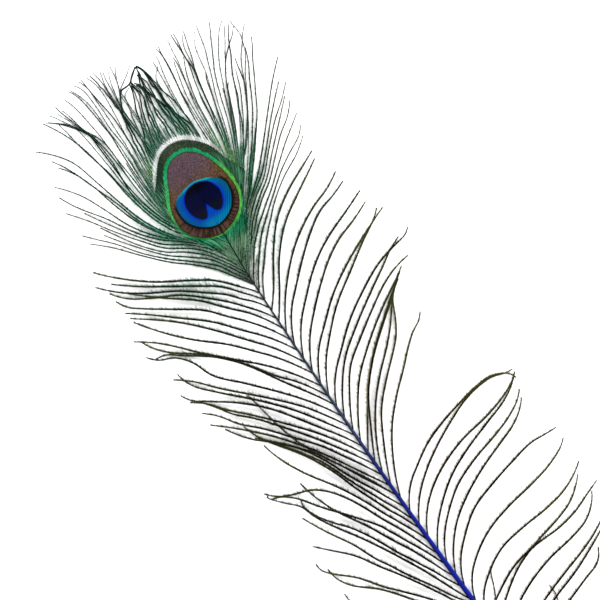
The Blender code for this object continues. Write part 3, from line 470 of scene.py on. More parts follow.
FRINGE_RIGHT = (
    (0.4, (15.5, 32), (15.3, 48.6), (15.5, 54.8), (16.1, 60.7), (16.5, 66), (16.8, 69.8), (16.9, 72.8)),
    (0.3, (15.8, 45), (16.5, 54.8), (17.4, 60.7), (18.4, 66.5), (19.5, 70.7), (19.8, 74)),
    (0.25, (13, 62), (14, 66), (15.3, 67), (18.5, 70)),
    (0.9, (18, 27.8), (18.2, 36.1), (18.8, 42.3), (19.25, 46.5), (20.1, 52.8), (21.1, 58.2), (22, 64),
     (22.5, 69.4), (22.6, 73.2), (23.4, 77.3)),
    (0.3, (22.2, 68), (22.4, 74.4), (21.75, 77.3)),
    (0.4, (20.5, 38.2), (20.9, 44.4), (21.75, 50.7), (22.8, 55.3), (23.8, 59.4), (24.7, 63.2),
     (25.7, 66.9)),
    (0.4, (21.3, 31.9), (22, 39), (22.6, 44.4), (23.8, 49.8), (24.7, 54), (25.5, 59), (26.3, 63.2),
     (26.5, 69.4)),
    (0.6, (23.6, 40.3), (24.25, 45.3), (25.5, 50.7), (26.5, 54.4), (27.6, 58.2), (28.6, 60.7), (29.7, 63.2),
     (31, 66)),
    (0.3, (25.8, 58), (27.6, 66.5), (28, 70.7), (28.6, 74.8), (29.25, 78.2)),
    (0.5, (24.7, 25.7), (25.7, 34), (26.3, 40.3), (26.75, 44.4), (27.6, 47.3)),
    (0.9, (26, 30), (27.6, 36.1), (28.4, 40.7), (28.8, 44), (29.7, 47.3), (30.1, 51.5), (31.2, 54.8),
     (31.75, 58.2), (31.75, 61.5), (31.5, 65.7), (31.75, 68.6), (31.8, 71.5), (31.7, 75.7), (32, 79)),
    (0.6, (31.6, 64), (31.8, 68), (32.6, 71.5), (33, 74.8), (33.2, 79)),
    (0.9, (26.3, 21.5), (27.6, 26.5), (28.8, 30.7), (30.5, 36.1), (32, 41), (33, 44.8), (34.7, 51.5),
     (35.9, 53.2)),
    (0.6, (31, 53), (32, 57.3), (32.8, 59.4), (33.8, 61.5), (34.7, 64.4), (35.3, 66.9), (35.9, 69.4),
     (36.75, 71.9), (37.6, 74.8), (38.2, 77.3)),
    (0.5, (32.3, 58), (33, 63.2), (33.4, 66.5), (33.8, 69.8), (34.7, 71.9), (35.7, 74), (36.75, 76)),
    (0.35, (35.9, 53.2), (36.75, 57.3), (37.2, 60.7), (38.2, 65.3), (38.8, 67.8), (40.1, 69.4),
     (41.3, 70.7), (42.6, 73.4)),
    (0.5, (38, 52), (40.5, 59), (41.75, 61.9), (42.6, 64.8), (43.4, 68.2), (44, 71.5), (44.7, 74),
     (45, 76)),
    (0.7, (33.6, 33.2), (35, 38.2), (36.3, 41.5), (37.2, 44.8), (38.8, 48.6), (40.9, 53.6), (42.1, 55.3),
     (43.4, 58.2), (45, 61), (46.3, 63.6), (47.8, 66.5), (49.25, 69), (50.3, 71), (51.3, 73.2)),
    (0.35, (45, 55), (48, 59.8), (50, 62.7), (51.3, 64.8), (53.4, 67.3), (55, 69), (56.8, 69.8),
     (57.8, 71)),
    (0.3, (47.5, 53), (49.7, 56.5), (51.3, 59), (52.6, 60.7), (54.25, 63.6), (55.9, 66), (57, 68.6)),
    (0.9, (41.3, 32.3), (42.6, 34), (43.4, 37), (44.7, 40.7), (45.9, 44), (47.2, 46.5), (48.4, 48.6),
     (49.7, 51), (52, 54.8), (52.6, 56.9), (53.8, 59), (55, 61.5), (56.3, 63.6), (57.8, 65.3),
     (59.25, 67.3)),
    (0.7, (24, 5), (27.2, 11), (30.5, 17.5), (34, 24.5), (37.5, 33), (41.3, 42.3), (42.2, 44.4),
     (43.4, 46.5), (44.7, 48.6), (46.3, 51), (48, 53.6), (49.7, 54.8), (51.3, 56.7), (53.8, 58.8),
     (55.5, 59.8), (56.75, 61), (58.6, 62.7), (60.1, 64.8)),
    (0.3, (58.6, 52), (60, 56.5), (60.8, 59), (61, 62), (60.3, 65), (60.5, 68)),
    (0.5, (25, 4.4), (30.4, 9.6), (36, 16), (41.4, 24), (46.5, 33.5), (50.9, 42.3), (51.75, 44.4),
     (53.4, 47.3), (55, 50.3), (56.75, 52.3), (58.8, 54.8), (60.5, 57.3), (62.2, 59.4), (63.8, 61),
     (65.7, 63)),
    (0.7, (25.2, 4.6), (30, 9.8), (35.5, 16.4), (40, 22.4), (45.5, 30.7), (47.2, 34.4), (48.8, 37.3),
     (49.7, 40.7), (50.5, 44.4), (51.3, 48.6), (52.2, 51.5)),
    (0.6, (24.8, 5), (29.5, 11), (34.5, 17.5), (38, 22.8), (41.5, 29), (45.5, 36.5), (46.75, 39.8),
     (48, 43.2), (49.25, 46.5)),
    (0.5, (24.5, 4.8), (28.6, 11), (33, 17.5), (36.2, 23), (39.5, 29.5), (42.8, 36.5), (46, 43.5)),
    (0.5, (23.6, 5.4), (26.2, 11.5), (29.3, 18), (32, 23.5), (34.2, 29.5), (36.5, 36), (38.5, 42)),
    (0.8, (31.75, 22.3), (33.4, 26.5), (35, 29.4), (36.3, 32.3), (38, 35.3), (39.7, 38.6), (40.9, 41.5),
     (42.7, 43)),
)

# Outlines of the eye's zones, each a closed smooth curve through these points.
PUPIL = (
    (-0.7, -1.2), (-1.8, -3.2), (-2.9, -5.6), (-4.2, -7.1), (-6, -7.1), (-8, -5.3), (-9.6, -2.2),
    (-10.1, 1.5), (-9.2, 5.2), (-7, 8.2), (-3.8, 9.9), (0, 10.2), (3.6, 9.3), (6.6, 7), (8.4, 3.8),
    (8.8, 0.2), (7.8, -3.4), (5.8, -6.2), (3.6, -7.3), (2, -6.6), (0.6, -4),
)
BLUE = (
    (-11, 9.2), (-13, 7.4), (-14.2, 4.2), (-14.4, 0), (-13.6, -3.8), (-11.4, -7.4), (-7.6, -10.7),
    (-2.9, -12.8), (1.5, -12.8), (5.6, -11.4), (9.4, -8.8), (12.1, -5.2), (13.4, -0.8), (13.3, 3.2),
    (11.8, 5.8), (8.2, 8.6), (4.2, 10.4), (0, 11.3), (-5.5, 10.7),
)
BROWN = (
    (1, 27), (-3.5, 26.3), (-6.7, 24.3), (-10.3, 19.3), (-13.3, 13.3), (-16.3, 8), (-18, 3.3),
    (-18.5, -1.3), (-17.9, -6), (-15.7, -10.7), (-12, -14.3), (-7.3, -17), (-2, -18.1), (3.3, -17.3),
    (8.7, -14.7), (13.3, -10.7), (15.7, -6), (16.7, -0.7), (16.5, 4.7), (15.7, 9.3), (14, 15.3),
    (11.3, 20.7), (8, 24.5), (4.7, 26.3),
)
RING = (
    (0, 28.8), (-5.3, 27.5), (-9, 24.7), (-12, 20), (-15, 14), (-17.6, 9.3), (-19, 4.7), (-19.5, -0.7),
    (-18.9, -6), (-16.8, -10.6), (-12.9, -14.6), (-8.3, -17.5), (-2.5, -19.0), (4, -18.3), (9.8, -15.6),
    (14.5, -11.3), (17.1, -6), (18, -0.7), (18.1, 4.7), (17.2, 10), (15.5, 16), (12.7, 21.3), (9, 26),
    (4.7, 28.2),
)
# Outline of the closed vane, where barb lies against barb.
DENSE = (
    (-2.6, -41), (-4.2, -36), (-6.4, -31), (-8.9, -26), (-11.4, -21.5), (-14.3, -17.2), (-17.2, -12.8),
    (-19.6, -8), (-20.8, -3), (-21.2, 2), (-21.2, 7), (-20.6, 12), (-18.8, 17.2), (-16, 21.2), (-13, 25),
    (-10, 28.6), (-7, 31.4), (-3, 33.3), (1, 33.6), (6, 32.6), (10, 30.3), (14, 26.5), (17, 22.3),
    (18.8, 18), (20, 14), (21.4, 10.5), (23.2, 7), (24.6, 4.2), (24, 1.4), (21.8, -2.2), (19.2, -6),
    (16.6, -9.6), (14.6, -13), (13.2, -17), (12, -20.5), (10, -24), (6.5, -28.5), (2.5, -33.2),
    (-0.5, -37.5), (-2, -40.4),
)
OUTLINES = {"pupil": PUPIL, "blue": BLUE, "brown": BROWN, "ring": RING}

# Kinds of barb. Widths of the stem and lengths of the barbules go from the start of what shows of a
# barb to its tip, in millimetres. Its fore side faces the tip of the feather. Spacing is the way from
# one barbule to the next, and lean the angle at which they leave the stem, in degrees.
Kind = namedtuple("Kind", "stem fore back spacing lean")
LOOSE = Kind(
    stem=(0.8, 0.84, 0.88, 0.88, 0.86, 0.8, 0.35),
    fore=(0.9, 1.3, 1.6, 1.7, 1.6, 1.3, 0.8),
    back=(0.5, 0.6, 0.7, 0.7, 0.65, 0.55, 0.4),
    spacing=0.26,
    lean=50,
)
LOWER = Kind(
    stem=(0.42, 0.58, 0.64, 0.6, 0.56, 0.5, 0.3),
    fore=(1.1, 1.5, 1.2, 0.8, 0.6, 0.6, 0.5),
    back=(1.0, 1.2, 0.9, 0.6, 0.4, 0.3, 0.3),
    spacing=0.26,
    lean=44,
)
FRINGE = Kind(
    stem=(0.5, 0.56, 0.64, 0.7, 0.7, 0.66, 0.35),
    fore=(1.0, 0.8, 0.7, 0.7, 0.6, 0.5, 0.4),
    back=(0.8, 0.6, 0.5, 0.5, 0.5, 0.4, 0.3),
    spacing=0.3,
    lean=38,
)
TUFT = Kind(
    stem=(0.42, 0.7, 0.88, 0.92, 0.84, 0.76, 0.6),
    fore=(0.9, 1.1, 1.0, 0.8, 0.5, 0.3, 0.2),
    back=(0.9, 1.1, 1.0, 0.8, 0.5, 0.3, 0.2),
    spacing=0.25,
    lean=30,
)
FILL = Kind(
    stem=(0.4, 0.5, 0.5, 0.45, 0.4, 0.3, 0.2),
    fore=(0.8, 0.9, 0.9, 0.8, 0.7, 0.5, 0.2),
    back=(0.8, 0.9, 0.9, 0.8, 0.7, 0.5, 0.2),
    spacing=0.24,
    lean=28,
)

# Patches that are greener, with long pale barbules, or lime: middle, size and strength.
PATCHES = {
    "green": (
        ((0, -22), (12, 12), 1.0), ((-12, 40), (8, 18), 1.0), ((2, 42), (9, 14), 0.9),
        ((11, 44), (7, 16), 0.9), ((-25, 8), (9, 24), 1.0), ((23, 8), (9, 20), 0.9),
        ((30, 22), (14, 20), 0.5), ((-30, 25), (12, 26), 0.4),
    ),
    "down": (((-27, -37), (14, 9), 1.0), ((-14, -26), (13, 12), 1.0), ((15, -26), (12, 14), 1.0)),
    "lime": (((21.5, 19), (2.5, 9), 1.0), ((-14.5, 28), (4, 5), 0.8), ((24, 10), (3, 5), 0.4)),
}

# Sections: across in half widths, and up. A blade's ridge and a stem's half width give their heights.
BLADE_SECTION = ((-1.0, -1.0), (-0.5, 0.3), (0.0, 1.0), (0.5, 0.3), (1.0, -1.0))
STEM_SECTION = ((-1.0, 0.0), (-0.45, 0.7), (0.45, 0.7), (1.0, 0.0), (0.0, -0.8))
# That of the shaft is in its thickness, and has a groove underneath.
SHAFT_SECTION = (
    (-0.70, 0.00), (-0.86, 0.12), (-1.00, 0.36), (-0.94, 0.66), (-0.74, 0.88), (-0.42, 0.98),
    (0.00, 1.00), (0.42, 0.98), (0.74, 0.88), (0.94, 0.66), (1.00, 0.36), (0.86, 0.12), (0.70, 0.00),
    (0.38, 0.03), (0.16, 0.16), (-0.16, 0.16), (-0.38, 0.03),
)
# A barbule is a spike with four corners: both sides of its foot, the top of it, and its tip.
BARBULE_FACES = ((0, 3, 2), (2, 3, 1), (1, 3, 0), (0, 2, 1))
BARBULE_ALONG = (0, 0.5, 0.25, 0.25)    # their places in the map, in widths of the barbule
BARBULE_OUT = (0.1, 0.1, 0.1, 1.0)      # how far out they count as being

# What each vertex tells the material and the map: its place along and across its barb, how far out it
# is on it, its barb's row and chance tint, how faint the barb is, and how bare, green, downy or lime.
MARKS = ("along", "across", "out", "row", "tint", "faint", "bare", "green", "down", "lime")


# ---------------------------------------------------------------------------------------------
# Lines and places
# ---------------------------------------------------------------------------------------------
def shaft_x(y):
    """Middle of the bowed shaft at a height along it."""
    belly_x, belly_y = SHAFT_BELLY
    return belly_x + SHAFT_BOW * (y - belly_y) ** 2 + SHAFT_KICK * smoothstep(*KICK_FROM_TO, y)


def shaft_width(y):
    """Width of the shaft, tapering from the quill to its fine end."""
    share = (SHAFT_END_Y - y) / (SHAFT_END_Y - QUILL_END_Y)
    return SHAFT_TIP_WIDTH + (QUILL_WIDTH - SHAFT_TIP_WIDTH) * max(share, 0) ** SHAFT_TAPER


def shaft_thickness(y):
    """Thickness of the shaft."""
    return SHAFT_DEPTH * shaft_width(y) + SHAFT_LEAST


def read(values, share):
    """Read a short list of evenly spaced values at shares of its length."""
    return np.interp(share, np.linspace(0, 1, len(values)), values)


def smoothstep(low, high, value):
    """0 below low, 1 above high, and a smooth rise between them."""
    share = np.clip((value - low) / (high - low), 0, 1)
    return share * share * (3 - 2 * share)


def lengths_along(path):
    """Length of a path up to each of its points."""
    return np.concatenate([[0], np.cumsum(np.linalg.norm(np.diff(path, axis=0), axis=1))])


def points_at(path, places, wanted):
    """Points of a path at the wanted places, given the place of each of its own points."""
    return np.stack([np.interp(wanted, places, path[:, axis]) for axis in (0, 1)], axis=1)


def smooth_path(points, count=None):
    """Evenly spaced points on a smooth curve through a few given points."""
    points = [Vector(point) for point in points]
    chords = [end - start for start, end in zip(points, points[1:])]
    slopes = []
    for before, after in zip(chords, chords[1:]):
        slope = before.normalized() * after.length + after.normalized() * before.length
        slopes.append(slope.normalized())
    slopes.insert(0, (2 * chords[0].normalized() - slopes[0]).normalized())
    slopes.append((2 * chords[-1].normalized() - slopes[-1]).normalized())
    fine = [points[0]]
    for index, chord in enumerate(chords):
        handle = points[index] + slopes[index] * chord.length / 3
        far_handle = points[index + 1] - slopes[index + 1] * chord.length / 3
        fine += interpolate_bezier(points[index], handle, far_handle, points[index + 1], CURVE_POINTS)[1:]
    fine = np.array([tuple(point) for point in fine])
    lengths = lengths_along(fine)
    count = count or max(int(lengths[-1] / STEP), LEAST_STEPS)
    return points_at(fine, lengths, np.linspace(0, lengths[-1], count + 1))


def relaxed(path):
    """A path with its small unevenness taken out."""
    for _ in range(RELAXING):
        path[1:-1] = (path[:-2] + 2 * path[1:-1] + path[2:]) / 4
    return path


def barb_path(barb, count=None):
    """The course of a barb across the feather, from its root in the shaft."""
    root_y, *points = barb
    return relaxed(smooth_path([(shaft_x(root_y), root_y), *points], count))


def wobbly(path, random):
    """A path that strays to both sides, now here, now there."""
    lengths = lengths_along(path)
    knots = np.arange(0, lengths[-1] + WOBBLE_STEP, WOBBLE_STEP)
    stray = [np.interp(lengths, knots, random.uniform(-WOBBLE, WOBBLE, len(knots))) for _ in path[0]]
    return path + np.stack(stray, axis=1)


def lift(root_y, share, arch):
    """Height of a barb's middle: it leaves the shaft, arches and comes down at its tip."""
    root = ROOT_LEVEL * shaft_thickness(root_y) - BARB_LEVEL
    return root * (1 - share) + arch * np.sin(pi * share) + BARB_LEVEL * (1 - TIP_SINK * share)


def distances(points, outline):
    """Distance of each point from a closed smooth outline, in millimetres, negative inside it."""
    start = smooth_path([*outline, outline[0]], OUTLINE_STEPS * len(outline))[:-1]
    end = np.roll(start, -1, axis=0)
    edge = end - start
    result = []
    for part in np.array_split(np.asarray(points), max(len(points) // CHUNK, 1)):
        offset = part[:, None, :] - start
        share = np.clip((offset * edge).sum(2) / (edge * edge).sum(1), 0, 1)
        away = np.linalg.norm(offset - share[:, :, None] * edge, axis=2).min(1)
        y = part[:, 1:]
        spans = (start[:, 1] > y) != (end[:, 1] > y)
        crossing = start[:, 0] + (y - start[:, 1]) * edge[:, 0] / (edge[:, 1] + 1e-9)
        inside = (spans & (part[:, :1] < crossing)).sum(1) % 2 == 1
        result.append(np.where(inside, -away, away))
    return np.concatenate(result)


def patches(points, name):
    """How strongly each point lies in the soft patches of one name, up to 1."""
    total = 0
    for middle, size, strength in PATCHES[name]:
        away = ((points[:, :2] - middle) / size) ** 2
        total = total + strength * np.exp(-away.sum(1))
    return np.minimum(total, 1)


# ---------------------------------------------------------------------------------------------
# Meshes
# ---------------------------------------------------------------------------------------------
class Sheaf:
    """The vertices and faces of one piece, and what each vertex tells the piece's material."""

    def __init__(self, seed):
        self.random = np.random.default_rng(seed)
        self.points = []
        self.marks = []
        self.faces = []
        self.count = 0
        self.rows = 0

    def new_row(self):
        """A row of its own in the piece's map, for one barb."""
        self.rows += 1
        return self.rows - 1

    def add(self, points, **marks):
        """Add vertices, each mark one number for all of them or one for each, and return their numbers."""
        points = points.reshape(-1, 3)
        table = {**{name: patches(points, name) for name in PATCHES}, **marks}
        columns = [np.broadcast_to(np.ravel(table.get(name, 0.0)), len(points)) for name in MARKS]
        self.points.append(points)
        self.marks.append(np.stack(columns, axis=1))
        self.count += len(points)
        return np.arange(self.count - len(points), self.count)

    def tube(self, rings, **marks):
        """A closed tube through rings of points, each ring going from the left over the top."""
        numbers = self.add(rings, **marks).reshape(rings.shape[:2])
        near, far = numbers[:-1], numbers[1:]
        quads = np.stack([near, np.roll(near, -1, 1), np.roll(far, -1, 1), far], axis=2)
        self.faces += quads.reshape(-1, 4).tolist()
        self.faces += [numbers[0][::-1].tolist(), numbers[-1].tolist()]


def in_place(points):
    """Points measured from the eye, in metres from the middle of the ground that the feather covers."""
    middle = ((LEFT_X + RIGHT_X) / 2, (QUILL_END_Y + TOP_Y) / 2, 0)
    points = (points - middle) * MM
    points[:, 2] = np.maximum(points[:, 2], LOWEST * MM)
    return points


def add_map(mesh, marks, rows):
    """The piece's map: along its barb, in the barb's own row, with the undersides in the lower half."""
    corners = np.empty(len(mesh.loops), int)
    mesh.loops.foreach_get("vertex_index", corners)
    sizes = np.empty(len(mesh.polygons), int)
    mesh.polygons.foreach_get("loop_total", sizes)
    normals = np.empty(len(mesh.polygons) * 3)
    mesh.polygons.foreach_get("normal", normals)
    upper = np.repeat(normals[2::3] > 0, sizes)
    along, across, row = (marks[corners, MARKS.index(name)] for name in ("along", "across", "row"))
    right = MAP_EDGE + (1 - 2 * MAP_EDGE) * along
    up = ((row + 0.5 + MAP_HALF * across) / rows + upper) / 2
    mesh.uv_layers.new(name="OFBake").data.foreach_set("uv", np.stack([right, up], axis=1).ravel())


def make_piece(name, sheaf, material):
    """The object of a finished sheaf, riding on the feather's body in place of its solid."""
    points = np.concatenate(sheaf.points)
    marks = np.concatenate(sheaf.marks)
    mesh = bpy.data.meshes.new(name)
    mesh.from_pydata(in_place(points).tolist(), [], sheaf.faces)
    for column, field in enumerate(MARKS):
        mesh.attributes.new(field, "FLOAT", "POINT").data.foreach_set("value", marks[:, column])
    add_map(mesh, marks, sheaf.rows)
    mesh.materials.append(material)
    mesh.polygons.foreach_set("use_smooth", [len(face) > 3 for face in sheaf.faces])
    piece = bpy.data.objects.new(name, mesh)
    bpy.context.collection.objects.link(piece)
    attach(piece, "root")
    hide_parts("feather")
    return piece


# ---------------------------------------------------------------------------------------------
# One barb
# ---------------------------------------------------------------------------------------------
# Its course, the height of its root, the share of it that is left out before that course begins, how
# high it arches, its kind, how strongly it shows, and its fore side, seen along it: -1 left, 1 right.
Barb = namedtuple("Barb", "path root_y first arch kind strength fore")


def frame_along(path, lengths, reach):
    """Points at the given lengths along a path, and the unit vectors ahead and to the right of it."""
    point = points_at(path, lengths, reach)
    ahead = points_at(path, lengths, reach + LOOK_AHEAD) - points_at(path, lengths, reach - LOOK_AHEAD)
    ahead /= np.linalg.norm(ahead, axis=1)[:, None]
    return point, ahead, np.stack([ahead[:, 1], -ahead[:, 0]], axis=1)


def with_height(places, height):
    """Places on the ground raised to a height."""
    return np.concatenate([places, height[..., None]], axis=-1)


def in_halo(points):
    """Whether each point is in the bare halo that lies round the top of the closed vane."""
    x, y = points[:, 0], points[:, 1]
    width = HALO_WIDTH * smoothstep(*HALO_FROM_TO, y) * smoothstep(*HALO_FROM_TO_X, x)
    near = width > 0
    near[near] = distances(points[near], DENSE) < width[near]
    return near


def add_barb(sheaf, barb):
    """A barb with its stem and its barbules."""
    row = sheaf.new_row()
    tint = sheaf.random.random()
    lengths = lengths_along(barb.path)
    hidden = lengths[-1] * barb.first / (1 - barb.first)
    slack = sheaf.random.uniform(-SLACK, SLACK)

    def height_at(reach):
        whole = barb.first + (1 - barb.first) * reach / lengths[-1]
        return lift(barb.root_y, whole, barb.arch) + slack * np.sin(pi * np.minimum(SLACK_PACE * whole, 1))

    def growth_at(reach):
        return YOUNG_SHARE + (1 - YOUNG_SHARE) * smoothstep(0, YOUNG_LENGTH, hidden + reach)

    def half_stem_at(reach):
        half = read(barb.kind.stem, reach / lengths[-1]) * (FAINTEST + (1 - FAINTEST) * barb.strength) / 2
        bare = in_halo(points_at(barb.path, lengths, reach))
        return half * growth_at(reach) * np.where(bare, HALO_THIN, 1)

    marks = {"row": row, "tint": tint, "faint": 1 - barb.strength}
    add_stem(sheaf, barb, lengths, height_at, half_stem_at, marks)
    add_barbules(sheaf, barb, lengths, height_at, half_stem_at, growth_at, marks)


def add_stem(sheaf, barb, lengths, height_at, half_stem_at, marks):
    """The stem of a barb: a thin tube that narrows to its tip."""
    reach = np.linspace(0, lengths[-1], max(int(lengths[-1] / STEM_STEP), LEAST_RINGS))
    point, _, right = frame_along(barb.path, lengths, reach)
    half = half_stem_at(reach)
    across, up = np.array(STEM_SECTION).T
    places = point[:, None] + right[:, None] * (half[:, None] * across)[..., None]
    heights = height_at(reach)[:, None] + half[:, None] * up
    sheaf.tube(
        with_height(places, heights),
        along=np.repeat(reach / lengths[-1], len(across)),
        across=np.tile(across * MAP_STEM, len(reach)),
        bare=np.repeat(in_halo(point), len(across)),
        **marks,
    )


def add_barbules(sheaf, barb, lengths, height_at, half_stem_at, growth_at, marks):
    """The two rows of barbules of a barb, which lean towards its tip and stand in loose clumps."""
    random = sheaf.random
    kind = barb.kind
    count = int(lengths[-1] / kind.spacing)
    reach = (np.arange(count) + random.uniform(*BARBULE_PLACES, count)) * kind.spacing
    reach = reach[~in_halo(points_at(barb.path, lengths, reach))]
    count = len(reach)
    share = reach / lengths[-1]
    point, ahead, right = frame_along(barb.path, lengths, reach)
    knots = np.arange(0, lengths[-1] + CLUMP, CLUMP)
    clumps = np.interp(reach, knots, random.uniform(*CLUMP_SIZES, len(knots)))
    clumps *= 1 if kind is LOWER else growth_at(reach)
    longer = 1 + DOWN_LONGER * patches(point, "down")
    for side in (-1, 1):
        sizes = kind.fore if side == barb.fore else kind.back
        size = read(sizes, share) * clumps * longer * random.uniform(*BARBULE_SIZES, count)
        turn = radians(kind.lean) + random.uniform(-BARBULE_STRAY, BARBULE_STRAY, count)
        out = ahead * np.cos(turn)[:, None] + right * side * np.sin(turn)[:, None]
        foot = point + right * side * (half_stem_at(reach) / 2)[:, None]
        rise = random.uniform(*BARBULE_RISE, count) * size
        corners = spike_corners(foot, foot + out * size[:, None], ahead, height_at(reach), rise)
        add_spikes(sheaf, corners, share, size, side, lengths[-1], marks)


def spike_corners(foot, tip, ahead, height, rise):
    """The four corners of each barbule: both sides of its foot, the top of it, and its tip."""
    half = ahead * BARBULE_WIDTH / 2
    return np.stack([
        with_height(foot - half, height - BARBULE_THICKNESS / 2),
        with_height(foot + half, height - BARBULE_THICKNESS / 2),
        with_height(foot, height + BARBULE_THICKNESS / 2),
        with_height(tip, height + rise),
    ], axis=1)


def add_spikes(sheaf, corners, share, size, side, length, marks):
    """The barbules of one side of a barb, each with its place in the barb's row of the map."""
    spread = np.array(BARBULE_ALONG) * BARBULE_WIDTH / length
    near = np.full(len(size), MAP_STEM)
    middle = near + MAP_FOOT
    far = np.minimum(middle + size * MAP_BARBULE, 1)
    numbers = sheaf.add(
        corners,
        along=np.minimum(share[:, None] + spread, 1),
        across=np.stack([near, near, middle, far], axis=1) * side,
        out=np.tile(BARBULE_OUT, len(size)),
        **marks,
    ).reshape(-1, 4)
    faces = np.array(BARBULE_FACES)[:, ::side]
    sheaf.faces += numbers[:, faces].reshape(-1, 3).tolist()


# ---------------------------------------------------------------------------------------------
# The vane round the eye
# ---------------------------------------------------------------------------------------------
Side = namedtuple("Side", "heights paths fore")


def make_side(guides, fore):
    """One side of the vane: the roots and courses of its guide barbs, and which way they face."""
    paths = np.array([barb_path(guide, GUIDE_STEPS) for guide in guides])
    return Side([guide[0] for guide in guides], paths, fore)


def vane_path(side, root_y):
    """Course of a barb of the vane, between the two guide barbs that have its root between theirs."""
    first = int(np.clip(np.searchsorted(side.heights, root_y) - 1, 0, len(side.heights) - 2))
    low, high = side.heights[first:first + 2]
    rest = (root_y - low) / (high - low)
    path = side.paths[first] * (1 - rest) + side.paths[first + 1] * rest
    path[0] = (shaft_x(root_y), root_y)
    return path


def vane_roots(low, high):
    """Evenly spaced roots of the vane's barbs."""
    return np.linspace(low, high, int((high - low) / ROOT_SPACING) + 1)


def vane_courses(side, roots):
    """Roots and courses of barbs of the vane."""
    return [(root_y, vane_path(side, root_y)) for root_y in roots]


def courses_over(left, right, count):
    """Roots and courses of the few barbs that go straight on from the end of the shaft."""
    top = left.heights[-1]
    shares = np.linspace(0, 1, count + 2)[1:-1]
    return [(top, vane_path(left, top) * (1 - share) + vane_path(right, top) * share) for share in shares]


def courses_round(left, right):
    """Roots and courses of the vane's barbs in order: up the eye's left, over it, down its right."""
    roots = vane_roots(left.heights[0], left.heights[-1])
    over = courses_over(left, right, BLADES_OVER)
    return vane_courses(left, roots) + over + vane_courses(right, roots)[::-1]


def inside_span(path):
    """Where a path enters and leaves the closed vane, as places in its list of points."""
    away = distances(path, DENSE)
    inside = np.nonzero(away < 0)[0]
    if not len(inside):
        return None
    first, last = inside[0], inside[-1]
    enter = first if first == 0 else first - away[first] / (away[first] - away[first - 1])
    leave = last if last == len(path) - 1 else last + away[last] / (away[last] - away[last + 1])
    return enter, leave


def add_blade(sheaf, root_y, path, before, after):
    """A barb inside the closed vane: a blade that reaches under or over both of its neighbours."""
    span = inside_span(path)
    if span is None or span[1] - span[0] < LEAST_INSIDE:
        return
    row = sheaf.new_row()
    random = sheaf.random
    places = np.arange(len(path))
    lengths = lengths_along(path)
    enter, leave = np.interp(span, places, lengths)
    loose = 1 - smoothstep(*FOOT_OVER_Y, np.interp(leave, lengths, path[:, 1]))
    leave += FOOT_OVER * loose * random.uniform(*FOOT_OVER_SHARES)
    reach = np.linspace(enter, leave, max(int((leave - enter) / BLADE_STEP), LEAST_RINGS))
    spots = np.interp(reach, lengths, places)
    middle, left, right = (points_at(line, places, spots) for line in (path, before, after))
    rest = (leave - reach + BLADE_THICKNESS) / (BLADE_ROUND + FOOT_OVER * loose)
    rounding = np.sqrt(np.clip(rest, 0, 1))
    height = lift(root_y, reach / lengths[-1], VANE_ARCH) + random.uniform(-BLADE_SLACK, BLADE_SLACK)
    across, up = np.array(BLADE_SECTION).T
    width = np.abs(across) * BLADE_OVERLAP / 2 * rounding[:, None]
    sideways = np.where((across < 0)[None, :, None], (left - middle)[:, None], (right - middle)[:, None])
    top = with_height(middle[:, None] + sideways * width[..., None], height[:, None] + up * BLADE_RIDGE)
    under = with_height(middle[:, None], height[:, None] - BLADE_RIDGE - BLADE_THICKNESS)
    rings = np.concatenate([top, under], axis=1)
    sheaf.tube(
        rings,
        along=np.repeat(reach / lengths[-1], rings.shape[1]),
        across=np.tile([*across, 0], len(reach)),
        out=np.tile([*np.abs(across), 1], len(reach)),
        row=row,
        tint=random.random(),
    )


def make_eye(left, right, material):
    """The closed vane with the eye on it."""
    sheaf = Sheaf(1)
    barbs = courses_round(left, right)
    for index, (root_y, path) in enumerate(barbs):
        before = barbs[max(index - 1, 0)][1]
        after = barbs[min(index + 1, len(barbs) - 1)][1]
        add_blade(sheaf, root_y, path, before, after)
    piece = make_piece("eye", sheaf, material)
    places = np.concatenate(sheaf.points)[:, :2]
    for name, outline in OUTLINES.items():
        layer = piece.data.attributes.new(name, "FLOAT", "POINT")
        layer.data.foreach_set("value", distances(places, outline))


# ---------------------------------------------------------------------------------------------
# Fringe and loose barbs
# ---------------------------------------------------------------------------------------------
def shown_part(path):
    """The part of a path outside the closed vane, and the share of the path that is left out."""
    span = inside_span(path)
    if span is None:
        return path, 0.0
    places = np.arange(len(path))
    start = span[1] - START_INSIDE
    spots = np.linspace(start, len(path) - 1, max(len(path) - int(span[1]), LEAST_STEPS))
    return points_at(path, places, spots), start / (len(path) - 1)


def joined_path(side, traced):
    """Course of a barb that leaves the shaft as the vane does and then takes its traced course."""
    roots = np.arange(side.heights[0], side.heights[-1], JOIN_SEARCH)
    paths = np.array([vane_path(side, root_y) for root_y in roots])
    away = np.linalg.norm(paths - np.array(traced[0]), axis=2)
    best, place = np.unravel_index(away.argmin(), away.shape)
    inner = paths[best][:max(place - JOIN_BEFORE, 1):JOIN_STEP]
    return roots[best], relaxed(smooth_path([*inner.tolist(), *traced]))


def add_traced(sheaf, side, lines, kind):
    """The traced barbs of the upper fringe."""
    for strength, *traced in lines:
        root_y, path = joined_path(side, traced)
        path, first = shown_part(path)
        if kind is TUFT:
            path = wobbly(path, sheaf.random)
        add_barb(sheaf, Barb(path, root_y, first, VANE_ARCH, kind, strength, side.fore))


def add_short(sheaf, side, root_y, path, first, reach):
    """A fine barb along the first stretch of a course."""
    lengths = lengths_along(path)
    end = min(sheaf.random.uniform(*reach), lengths[-1])
    path = points_at(path, lengths, np.linspace(0, end, int(end / STEP) + LEAST_STEPS))
    add_barb(sheaf, Barb(path, root_y, first, VANE_ARCH, FILL, FILL_STRENGTH, side.fore))


